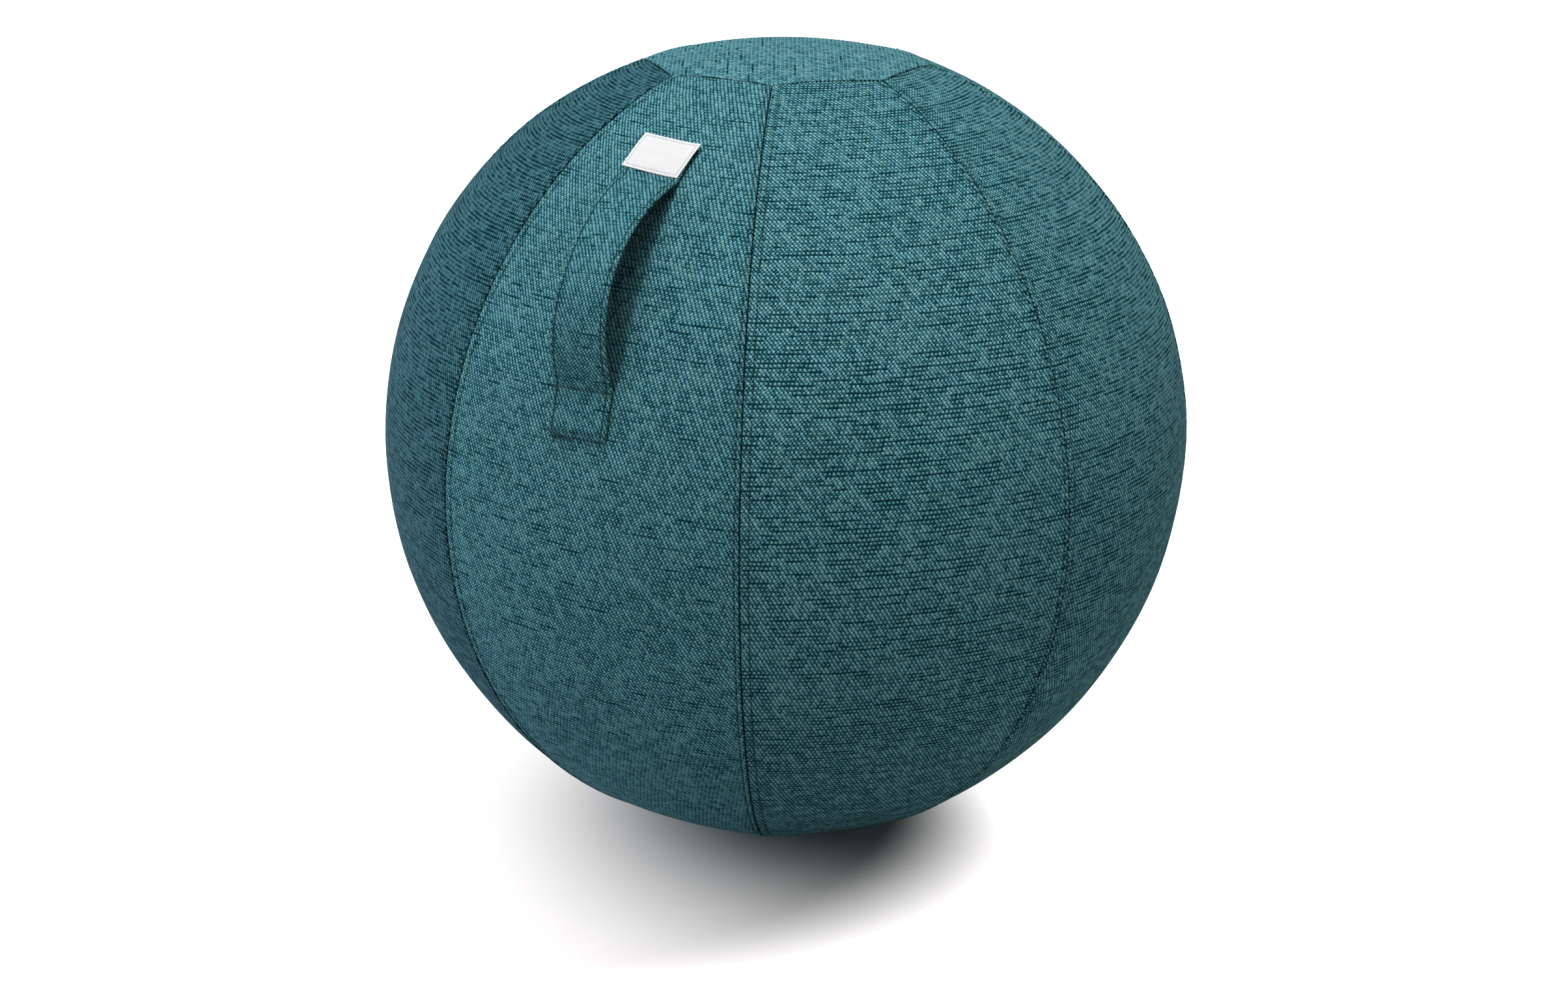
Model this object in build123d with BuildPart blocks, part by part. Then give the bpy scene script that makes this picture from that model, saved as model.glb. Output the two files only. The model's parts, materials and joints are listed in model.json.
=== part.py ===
from build123d import *
import os
from math import atan, atan2, cos, degrees, hypot, radians, sin, sqrt, tan

# A sitting ball: an inflated bladder inside a sewn fabric cover of gores and two end caps,
# with a carrying strap on one gore and a zip in the seam behind it. Millimetres, +Z up.
# The origin is on the floor under the ball's axis, and the strap's gore faces -Y.

# Cover
ball_diameter = 650.0
panel_count = 8
panel_setback = 50.0
lower_fullness = 7.0
cover_thickness = 1.6
crown_drop = 4.0
contact_radius = 60.0
top_corner_angle = 20.5
base_corner_angle = 20.5

# Carrying strap, sewn down at both ends and bowed clear of the gore between them
strap_width = 48.0
strap_thickness = 3.0
strap_upper_angle = 40.4
strap_lower_angle = 69.1
upper_tab_length = 37.0
lower_tab_length = 37.0
bow_rise = 39.0
bow_peak_place = 92.0
riser_length = 21.0
sewn_gap = 0.3
swing_gap = 0.3

# Woven label over the strap's upper tab
label_width = 50.0
label_height = 34.0
label_thickness = 0.5
label_angle = 36.6
label_tilt = 7.5

# Zip in the seam between two gores at the back
zip_panel = 5
zip_top_angle = -8.0
zip_bottom_angle = 52.0
zip_opening = 12.0
tape_reach = 11.0
tape_thickness = 0.6
tape_fall_angle = 5.2
chain_gap = 1.6
coil_width = 2.0
coil_height = 1.8
coil_rounding = 0.6
coil_stand = 0.1
stop_length = 3.0
run_clearance = 0.3

# Zip slider and its pull
slider_length = 11.0
slider_wall = 1.0
slider_shoulder = 1.1
slider_neck = 3.7
slider_plate = 1.0
slider_flange = 1.5
slider_post_length = 5.5
slider_rounding = 0.5
bridge_width = 2.6
bridge_wall = 1.1
pull_bar_diameter = 1.2
pull_rail = 1.3
pull_length = 24.0
pull_tip_width = 4.6
pull_hole_diameter = 3.0

# Bladder and its filling valve
bladder_clearance = 0.8
bladder_wall = 1.8
valve_seat_radius = 8.0
valve_collar_radius = 5.0
valve_bore_radius = 3.0
valve_collar_length = 12.0
valve_head_radius = 6.5
valve_head_thickness = 0.7
valve_head_rounding = 0.2
valve_fit = 0.1
valve_turn = 6.0
valve_drop_angle = 25.0

# Values that follow from the sizes above
ball_radius = ball_diameter / 2
panel_angle = 360 / panel_count
half_panel = radians(panel_angle / 2)
seam_reach = sqrt(
    ball_radius**2 + panel_setback**2 + 2 * ball_radius * panel_setback * cos(half_panel)
)
upper_radius = seam_reach - panel_setback
lower_radius = upper_radius + lower_fullness
equator_height = sqrt(lower_radius**2 - (contact_radius + lower_fullness) ** 2)
centre = Vector(0, 0, equator_height)
cut_depth = 0.1 * ball_radius
top_edge_angle = degrees(atan(tan(radians(top_corner_angle)) * cos(half_panel)))
base_edge_angle = degrees(atan(tan(radians(base_corner_angle)) * cos(half_panel)))

os.makedirs("parts", exist_ok=True)


def save(builder, name):
    """Label a finished piece and write it to its own file."""
    builder.part.label = name
    export_step(builder.part, f"parts/{name}.step")


def panel_azimuth(number):
    """Direction of a gore's middle line, in radians, with the first gore facing -Y."""
    return radians(-90 + panel_angle * (number - 1))


def heading(azimuth):
    """Level unit vector that points along an azimuth given in radians."""
    return Vector(cos(azimuth), sin(azimuth), 0)


def panel_axis(number):
    """Upright axis behind the ball's own, about which a gore curves sideways."""
    return Axis(heading(panel_azimuth(number)) * -panel_setback, (0, 0, 1))


def panel_plane(number, turn=0.0):
    """Upright plane through a gore's axis, turned from its middle line by an angle in degrees.

    Its x is the distance from the gore's axis and its y is the height.
    """
    out = heading(panel_azimuth(number) + radians(turn))
    return Plane(panel_axis(number).position, x_dir=out, z_dir=out.cross(Vector(0, 0, 1)))


def meridian(angle, inset):
    """Point on a gore's middle line, by its angle below the top and its depth under the face."""
    reach = upper_radius - inset
    swing = radians(angle)
    return Vector(panel_setback + reach * sin(swing), equator_height + reach * cos(swing))


def gore_shell(number, inset, thickness, start_angle, end_angle, spread):
    """Curved shell that follows a gore's upper half between two angles below the top."""
    with BuildSketch(panel_plane(number, -spread)) as section:
        with BuildLine():
            outer = ThreePointArc(
                meridian(start_angle, inset),
                meridian((start_angle + end_angle) / 2, inset),
                meridian(end_angle, inset),
            )
            inner = ThreePointArc(
                meridian(start_angle, inset + thickness),
                meridian((start_angle + end_angle) / 2, inset + thickness),
                meridian(end_angle, inset + thickness),
            )
            Line(outer @ 0, inner @ 0)
            Line(outer @ 1, inner @ 1)
        make_face()
    revolve(section.sketch, axis=panel_axis(number), revolution_arc=2 * spread)


def half_section(inset):
    """Half of the ball's section through its gores' middles, a set depth under the face."""
    crown = (0, equator_height + upper_radius - crown_drop - inset)
    edge = meridian(top_edge_angle, inset) - Vector(panel_setback, 0)
    side = (upper_radius - inset, equator_height)
    foot_height = inset
    foot_reach = sqrt((lower_radius - inset) ** 2 - (equator_height - inset) ** 2) - lower_fullness
    with BuildSketch(Plane.XZ) as section:
        with BuildLine():
            TangentArc(crown, edge, tangent=(1, 0))
            TangentArc(side, edge, tangent=(0, 1))
            TangentArc(side, (foot_reach, foot_height), tangent=(0, -1))
            Line((foot_reach, foot_height), (0, foot_height))
            Line((0, foot_height), crown)
        make_face()
    return section.sketch


def cap_plane(number, edge_angle, side):
    """Plane through the ball's centre that parts a gore from an end cap; the gore is above it."""
    out = heading(panel_azimuth(number))
    lean = radians(edge_angle)
    return Plane(centre, z_dir=out * cos(lean) - Vector(0, 0, side) * sin(lean))


# Zip path: an arc in the seam's own upright plane
seam_azimuth = panel_azimuth(zip_panel) + half_panel
seam_plane = Plane(
    centre, x_dir=heading(seam_azimuth), z_dir=heading(seam_azimuth).cross(Vector(0, 0, 1))
)


def seam_point(angle):
    """Point on a seam, in its plane, by its angle below the equator."""
    swing = radians(angle)
    fullness = lower_fullness if angle > 0 else 0.0
    reach = upper_radius + fullness
    from_axis = reach * cos(swing) - fullness + panel_setback
    across = panel_setback * sin(half_panel)
    out = sqrt(from_axis**2 - across**2) - panel_setback * cos(half_panel)
    return Vector(out, -reach * sin(swing))


zip_arc = ThreePointArc(
    seam_point(zip_bottom_angle),
    seam_point((zip_bottom_angle + zip_top_angle) / 2),
    seam_point(zip_top_angle),
)
zip_centre = zip_arc.arc_center
zip_radius = zip_arc.radius
zip_sweep = degrees(zip_arc.length / zip_radius)
zip_axis = Axis(seam_plane.from_local_coords(zip_centre), seam_plane.z_dir)
zip_start = degrees(atan2((zip_arc @ 0).Y - zip_centre.Y, (zip_arc @ 0).X - zip_centre.X))


def zip_direction(angle):
    """Outward direction from the zip arc's centre, at an angle up from the zip's lower end."""
    swing = radians(zip_start + angle)
    return seam_plane.x_dir * cos(swing) + Vector(0, 0, 1) * sin(swing)


def zip_section(angle):
    """Plane across the zip; its x is the distance outside the seam line and its y is sideways."""
    out = zip_direction(angle)
    return Plane(
        zip_axis.position + out * zip_radius, x_dir=out, z_dir=seam_plane.z_dir.cross(out)
    )


def zip_angle(length):
    """Angle about the zip arc's centre for a length along the zip."""
    return degrees(length / zip_radius)


# Heights in the zip's section, outwards from the seam line
tape_top = -cover_thickness - 2 * coil_stand
coil_base = tape_top + coil_stand
coil_top = coil_base + coil_height
coil_outer = chain_gap / 2 + coil_width
tape_fall = tan(radians(tape_fall_angle))

# Gores of the cover: an upper and a fuller lower arc turned about each gore's own axis,
# then parted from its neighbours by the seams' planes and from the end caps
upper_centre = (panel_setback, equator_height)
lower_centre = (panel_setback - lower_fullness, equator_height)
upper_sweep = 90 - top_edge_angle / 2
lower_sweep = 90 - base_edge_angle / 2
spread = panel_angle / 2

for number in range(1, panel_count + 1):
    with BuildPart() as panel:
        with BuildSketch(panel_plane(number, -spread)):
            with BuildLine():
                upper_out = CenterArc(upper_centre, upper_radius, 0, upper_sweep)
                upper_in = CenterArc(upper_centre, upper_radius - cover_thickness, 0, upper_sweep)
                lower_out = CenterArc(lower_centre, lower_radius, 0, -lower_sweep)
                lower_in = CenterArc(lower_centre, lower_radius - cover_thickness, 0, -lower_sweep)
                Line(upper_out @ 1, upper_in @ 1)
                Line(lower_out @ 1, lower_in @ 1)
            make_face()
        revolve(axis=panel_axis(number), revolution_arc=2 * spread)
        for side in (-1, 1):
            seam_normal = heading(panel_azimuth(number) + side * (half_panel - radians(90)))
            split(bisect_by=Plane(centre, z_dir=seam_normal), keep=Keep.TOP)
        split(bisect_by=cap_plane(number, top_edge_angle, 1), keep=Keep.TOP)
        split(bisect_by=cap_plane(number, base_edge_angle, -1), keep=Keep.TOP)
        if number in (zip_panel, zip_panel % panel_count + 1):
            with BuildSketch(zip_section(0)):
                Rectangle(cut_depth, zip_opening)
            revolve(axis=zip_axis, revolution_arc=zip_sweep, mode=Mode.SUBTRACT)
    save(panel, f"cover_panel_{number}")

# End caps of the cover, cut to a polygon by the gores' planes; the top one is flatter than a ball
crown_height = equator_height + upper_radius - crown_drop
cap_edge = meridian(top_edge_angle, 0) - Vector(panel_setback, 0)
crown_fall = crown_height - cap_edge.Y
crown_radius = (cap_edge.X**2 + crown_fall**2) / (2 * crown_fall)
crown_centre = (0, crown_height - crown_radius)
crown_sweep = 1.5 * top_corner_angle

with BuildPart() as top_cap:
    with BuildSketch(Plane.XZ):
        with BuildLine():
            cap_out = CenterArc(crown_centre, crown_radius, 90, -crown_sweep)
            cap_in = CenterArc(crown_centre, crown_radius - cover_thickness, 90, -crown_sweep)
            Line(cap_out @ 0, cap_in @ 0)
            Line(cap_out @ 1, cap_in @ 1)
        make_face()
    revolve(axis=Axis.Z)
    for number in range(1, panel_count + 1):
        split(bisect_by=cap_plane(number, top_edge_angle, 1), keep=Keep.BOTTOM)
save(top_cap, "top_cap")

with BuildPart() as base_cap:
    revolve(half_section(0), axis=Axis.Z)
    revolve(half_section(cover_thickness), axis=Axis.Z, mode=Mode.SUBTRACT)
    for number in range(1, panel_count + 1):
        split(bisect_by=cap_plane(number, base_edge_angle, -1), keep=Keep.BOTTOM)
    split(bisect_by=Plane(centre), keep=Keep.BOTTOM)
save(base_cap, "base_cap")

# Carrying strap: two sewn tabs with risers, and the bow between them that swings about their chord
strap_inset = -(sewn_gap + strap_thickness)
strap_middle = -(sewn_gap + strap_thickness / 2)
lift_upper = meridian(strap_upper_angle, strap_middle)
lift_lower = meridian(strap_lower_angle, strap_middle)
chord = lift_lower - lift_upper
chord_way = chord.normalized()
chord_out = Vector(-chord_way.Y, chord_way.X)
bow_peak = lift_upper + chord_way * bow_peak_place + chord_out * bow_rise
strap_plane = panel_plane(1)


def strap_bow(start, end):
    """Stretch of the strap's bow between two places along its chord.

    The bow is two arcs that meet at its peak, traced to the strap's thickness.
    """
    chord_lean = degrees(atan2(chord_way.Y, chord_way.X))
    with BuildSketch(strap_plane) as ribbon:
        with BuildLine():
            TangentArc(bow_peak, lift_upper, tangent=chord_way * -1)
            TangentArc(bow_peak, lift_lower, tangent=chord_way)
        trace(line_width=strap_thickness)
        with Locations(lift_upper + chord_way * ((start + end) / 2)):
            Rectangle(end - start, chord.length, rotation=chord_lean, mode=Mode.INTERSECT)
    extrude(ribbon.sketch, amount=strap_width / 2, both=True)


def strap_tab(start_angle, end_angle):
    """Sewn end of the strap, lying on the gore between two angles below the top."""
    spread = degrees(strap_width / meridian(start_angle, 0).X)
    gore_shell(1, strap_inset, strap_thickness, start_angle, end_angle, spread)
    for side in (-1, 1):
        edge_plane = Plane((side * strap_width / 2, 0, 0), z_dir=(-side, 0, 0))
        split(bisect_by=edge_plane, keep=Keep.TOP)


upper_tab_angle = degrees(upper_tab_length / upper_radius)
lower_tab_angle = degrees(lower_tab_length / upper_radius)

upper_cut = riser_length
lower_cut = chord.length - riser_length

with BuildPart() as handle_upper_end:
    strap_tab(strap_upper_angle - upper_tab_angle, strap_upper_angle)
    strap_bow(-strap_thickness, upper_cut - swing_gap / 2)
save(handle_upper_end, "handle_upper_end")

with BuildPart() as handle_grip:
    strap_bow(upper_cut + swing_gap / 2, lower_cut - swing_gap / 2)
save(handle_grip, "handle_grip")

with BuildPart() as handle_lower_end:
    strap_tab(strap_lower_angle, strap_lower_angle + lower_tab_angle)
    strap_bow(lower_cut + swing_gap / 2, chord.length + strap_thickness)
save(handle_lower_end, "handle_lower_end")

# Woven label, sewn a little askew over the upper tab
label_inset = strap_inset - sewn_gap - label_thickness
label_reach = degrees(hypot(label_width, label_height) / 2 / upper_radius)
label_normal = Vector(0, -sin(radians(label_angle)), cos(radians(label_angle)))
label_spot = strap_plane.from_local_coords(meridian(label_angle, label_inset))

with BuildPart() as label:
    gore_shell(
        1,
        label_inset,
        label_thickness,
        label_angle - label_reach,
        label_angle + label_reach,
        degrees(label_width / meridian(label_angle - label_reach, 0).X),
    )
    with BuildSketch(Plane(label_spot, x_dir=(1, 0, 0), z_dir=label_normal)):
        Rectangle(label_width, label_height, rotation=-label_tilt)
    extrude(amount=label_height, both=True, mode=Mode.INTERSECT)
save(label, "label")

# Zip tapes and coils on both sides of the seam
for hand, side in (("left", -1), ("right", 1)):
    with BuildPart() as tape:
        with BuildSketch(zip_section(0)):
            with BuildLine():
                near = side * chain_gap / 2
                far = side * tape_reach
                far_top = tape_top - tape_fall * tape_reach
                Polyline(
                    (tape_top, near),
                    (far_top, far),
                    (far_top - tape_thickness, far),
                    (tape_top - tape_thickness, near),
                    close=True,
                )
            make_face()
        revolve(axis=zip_axis, revolution_arc=zip_sweep)
    save(tape, f"zip_tape_{hand}")

    with BuildPart() as coil:
        with BuildSketch(zip_section(zip_angle(stop_length + run_clearance))):
            with Locations((coil_base + coil_height / 2, side * (chain_gap + coil_width) / 2)):
                RectangleRounded(coil_height, coil_width, coil_rounding)
        revolve(
            axis=zip_axis, revolution_arc=zip_sweep - 2 * zip_angle(stop_length + run_clearance)
        )
    save(coil, f"zip_coil_{hand}")

# Stops that close both ends of the chain
for end, start in (("bottom", 0), ("top", zip_sweep - zip_angle(stop_length))):
    with BuildPart() as stop:
        with BuildSketch(zip_section(start)):
            with Locations((coil_base + coil_height / 2, 0)):
                RectangleRounded(coil_height, 2 * coil_outer, coil_rounding)
        revolve(axis=zip_axis, revolution_arc=zip_angle(stop_length))
    save(stop, f"zip_{end}_stop")

# Slider: two plates joined by a post that runs between the coils, with a bridge for the pull
slider_half = coil_outer + run_clearance + slider_wall
post_width = chain_gap - 2 * run_clearance
roof = coil_top + run_clearance
flange_foot = roof - slider_flange
floor_top = tape_top - tape_thickness - tape_fall * slider_half - run_clearance
slider_angle = zip_sweep - zip_angle(stop_length + 2 * run_clearance + slider_length / 2)
slider_spot = zip_section(slider_angle)
slider_plane = Plane(slider_spot.origin, x_dir=-slider_spot.z_dir, z_dir=slider_spot.x_dir)
bar_radius = pull_bar_diameter / 2
bar_height = roof + slider_plate + run_clearance + bar_radius
bridge_inside = 2 * bar_radius + 2 * run_clearance
bridge_length = bridge_inside + 2 * bridge_wall


def slider_plan(height):
    """Plan of the slider at a height: shoulders at its mouth, narrower at its tail."""
    with BuildSketch(slider_plane.offset(height)) as plan:
        with BuildLine():
            Polyline(
                (-slider_length / 2, slider_half + slider_shoulder),
                (slider_neck - slider_length / 2, slider_half + slider_shoulder),
                (slider_length / 2, slider_half),
                (slider_length / 2, -slider_half),
                (slider_neck - slider_length / 2, -slider_half - slider_shoulder),
                (-slider_length / 2, -slider_half - slider_shoulder),
                close=True,
            )
        make_face()
        fillet(plan.vertices(), slider_rounding)
    return plan.sketch


with BuildPart() as zip_slider:
    extrude(slider_plan(floor_top - slider_plate), amount=slider_plate)
    extrude(slider_plan(flange_foot), amount=roof + slider_plate - flange_foot)
    with BuildSketch(slider_plane.offset(flange_foot)):
        Rectangle(2 * slider_length, 2 * (coil_outer + run_clearance))
    extrude(amount=roof - flange_foot, mode=Mode.SUBTRACT)
    with BuildSketch(slider_plane.offset(floor_top)):
        Rectangle(slider_post_length, post_width)
    extrude(amount=roof - floor_top)
    with BuildSketch(slider_plane.offset(roof + slider_plate)):
        Rectangle(bridge_length, bridge_width)
    extrude(amount=bar_height + bar_radius + run_clearance + bridge_wall - roof - slider_plate)
    with BuildSketch(slider_plane.offset(roof + slider_plate)):
        Rectangle(bridge_inside, 2 * bridge_width)
    extrude(amount=bar_height + bar_radius + run_clearance - roof - slider_plate, mode=Mode.SUBTRACT)
save(zip_slider, "zip_slider")

# Pull: a flat tab whose end bar turns under the slider's bridge
eye_half = bridge_width / 2 + run_clearance
bridge_swing = hypot(bridge_length / 2, bar_radius + run_clearance + bridge_wall) + run_clearance
pull_half = eye_half + pull_rail
tip_half = pull_tip_width / 2

with BuildPart() as zip_pull:
    with BuildSketch(slider_plane.offset(bar_height - bar_radius)):
        with BuildLine():
            Polyline(
                (0, pull_half),
                (bridge_swing + pull_rail, pull_half),
                (pull_length - tip_half, tip_half),
            )
            ThreePointArc(
                (pull_length - tip_half, tip_half),
                (pull_length, 0),
                (pull_length - tip_half, -tip_half),
            )
            Polyline(
                (pull_length - tip_half, -tip_half),
                (bridge_swing + pull_rail, -pull_half),
                (0, -pull_half),
                (0, pull_half),
            )
        make_face()
        with Locations((bridge_swing / 2, 0)):
            Rectangle(bridge_swing, 2 * eye_half, mode=Mode.SUBTRACT)
        with Locations((pull_length - tip_half, 0)):
            Circle(pull_hole_diameter / 2, mode=Mode.SUBTRACT)
    extrude(amount=pull_bar_diameter)
    bar_plane = Plane(
        slider_plane.from_local_coords((0, -pull_half, bar_height)),
        x_dir=slider_plane.x_dir,
        z_dir=slider_plane.y_dir,
    )
    with BuildSketch(bar_plane):
        Circle(bar_radius)
    extrude(amount=2 * pull_half)
save(zip_pull, "zip_pull")

# Bladder and its valve, reached through the open zip
bladder_inset = cover_thickness + bladder_clearance
valve_out = heading(seam_azimuth - radians(valve_turn))
valve_swing = radians(valve_drop_angle)
bladder_reach = lower_radius - bladder_inset
valve_normal = valve_out * cos(valve_swing) - Vector(0, 0, 1) * sin(valve_swing)
valve_spot = centre - valve_out * lower_fullness + valve_normal * bladder_reach
valve_plane = Plane(valve_spot, z_dir=valve_normal)

with BuildPart() as bladder:
    revolve(half_section(bladder_inset), axis=Axis.Z)
    revolve(half_section(bladder_inset + bladder_wall), axis=Axis.Z, mode=Mode.SUBTRACT)
    with BuildSketch(valve_plane):
        Circle(valve_seat_radius + valve_fit)
    extrude(amount=cut_depth, both=True, mode=Mode.SUBTRACT)
save(bladder, "bladder")

with BuildPart() as valve_seat:
    with BuildSketch(valve_plane.offset(-bladder_wall)):
        Circle(valve_seat_radius)
    extrude(amount=bladder_wall - valve_fit)
    with BuildSketch(valve_plane.offset(-bladder_wall)):
        Circle(valve_collar_radius)
    extrude(amount=-valve_collar_length)
    with BuildSketch(valve_plane):
        Circle(valve_bore_radius)
    extrude(amount=-cut_depth, mode=Mode.SUBTRACT)
save(valve_seat, "valve_seat")

with BuildPart() as valve_plug:
    with BuildSketch(valve_plane):
        Circle(valve_head_radius)
    extrude(amount=valve_head_thickness)
    with BuildSketch(valve_plane):
        Circle(valve_bore_radius - valve_fit)
    extrude(amount=-valve_collar_length)
    head_face = valve_plug.faces().sort_by(Axis(valve_spot, valve_normal))[-1]
    fillet(head_face.edges(), valve_head_rounding)
save(valve_plug, "valve_plug")
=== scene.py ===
import json
import logging
import math
from dataclasses import dataclass
from enum import Enum
from functools import cached_property

import bpy
import numpy as np
from mathutils import Matrix, Vector


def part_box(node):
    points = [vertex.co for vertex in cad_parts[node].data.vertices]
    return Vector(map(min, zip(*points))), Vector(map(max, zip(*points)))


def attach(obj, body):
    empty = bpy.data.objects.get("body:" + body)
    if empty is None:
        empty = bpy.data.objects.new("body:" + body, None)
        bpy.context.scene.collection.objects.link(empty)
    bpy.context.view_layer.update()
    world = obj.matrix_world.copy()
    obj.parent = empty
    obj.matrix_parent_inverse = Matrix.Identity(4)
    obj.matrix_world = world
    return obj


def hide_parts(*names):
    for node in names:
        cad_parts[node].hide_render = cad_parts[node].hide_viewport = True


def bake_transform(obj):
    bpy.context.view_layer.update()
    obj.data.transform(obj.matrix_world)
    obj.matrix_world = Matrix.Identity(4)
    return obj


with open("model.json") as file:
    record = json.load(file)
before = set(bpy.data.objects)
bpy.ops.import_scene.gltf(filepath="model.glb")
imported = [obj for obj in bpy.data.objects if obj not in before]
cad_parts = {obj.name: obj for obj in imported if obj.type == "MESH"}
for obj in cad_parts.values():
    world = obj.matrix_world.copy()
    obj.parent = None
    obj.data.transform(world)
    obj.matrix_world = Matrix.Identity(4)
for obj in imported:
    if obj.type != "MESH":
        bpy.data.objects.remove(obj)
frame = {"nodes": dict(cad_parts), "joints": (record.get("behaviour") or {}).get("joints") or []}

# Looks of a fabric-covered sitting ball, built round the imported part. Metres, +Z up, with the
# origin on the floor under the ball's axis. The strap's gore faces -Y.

Array = np.ndarray
Colour = tuple[float, float, float, float]

MM = 0.001
LOG = logging.getLogger("sitting_ball")
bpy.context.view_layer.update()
THREAD_FLATS = 6
THREAD_TAPER = np.array([0.7, 1.0, 1.0, 1.0, 0.7])
THREAD_WAY = np.linspace(0, 1, THREAD_TAPER.size)


def shade(red: int, green: int, blue: int) -> Colour:
    """Linear colour of a shade given in the 0 to 255 numbers of a picture.

    Args:
        red: red share of the shade.
        green: green share of the shade.
        blue: blue share of the shade.

    Returns:
        The colour with an alpha of one, as shader sockets take it.
    """
    parts = np.array([red, green, blue]) / 255
    linear = np.where(parts <= 0.04045, parts / 12.92, ((parts + 0.055) / 1.055) ** 2.4)
    return (float(linear[0]), float(linear[1]), float(linear[2]), 1.0)


def ease(value: Array, low: float, high: float) -> Array:
    """Smooth step from 0 at low to 1 at high.

    Args:
        value: numbers to ease.
        low: where the step starts.
        high: where the step ends.

    Returns:
        3 t squared less 2 t cubed, for t the clipped share of the way.
    """
    share = np.clip((value - low) / (high - low), 0, 1)
    return share * share * (3 - 2 * share)


def bump_at(value: Array, middle: float, width: float) -> Array:
    """Bell of height one: e to the minus square of the distance from middle over width.

    Args:
        value: numbers at which the bell is wanted.
        middle: where the bell peaks.
        width: distance at which it has fallen to about a third.

    Returns:
        The bell's height at each value.
    """
    return np.exp(-(((value - middle) / width) ** 2))


def unit(vectors: Array) -> Array:
    """Vectors of length one along the last axis.

    Args:
        vectors: vectors of any length.

    Returns:
        The same directions with length one.
    """
    return vectors / np.linalg.norm(vectors, axis=-1, keepdims=True)


def put_on_ball(
    piece: bpy.types.Object, finish: bpy.types.Material, slot: str, *nodes: str
) -> None:
    """Gives a piece its finish, and has it ride on the ball.

    Args:
        piece: the piece.
        finish: its material.
        slot: name of the slot that its finish belongs to; not used.
        nodes: solids that it stands for, if any.
    """
    piece.data.materials.append(finish)
    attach(piece, "ball")
    if nodes:
        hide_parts(*nodes)


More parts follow.
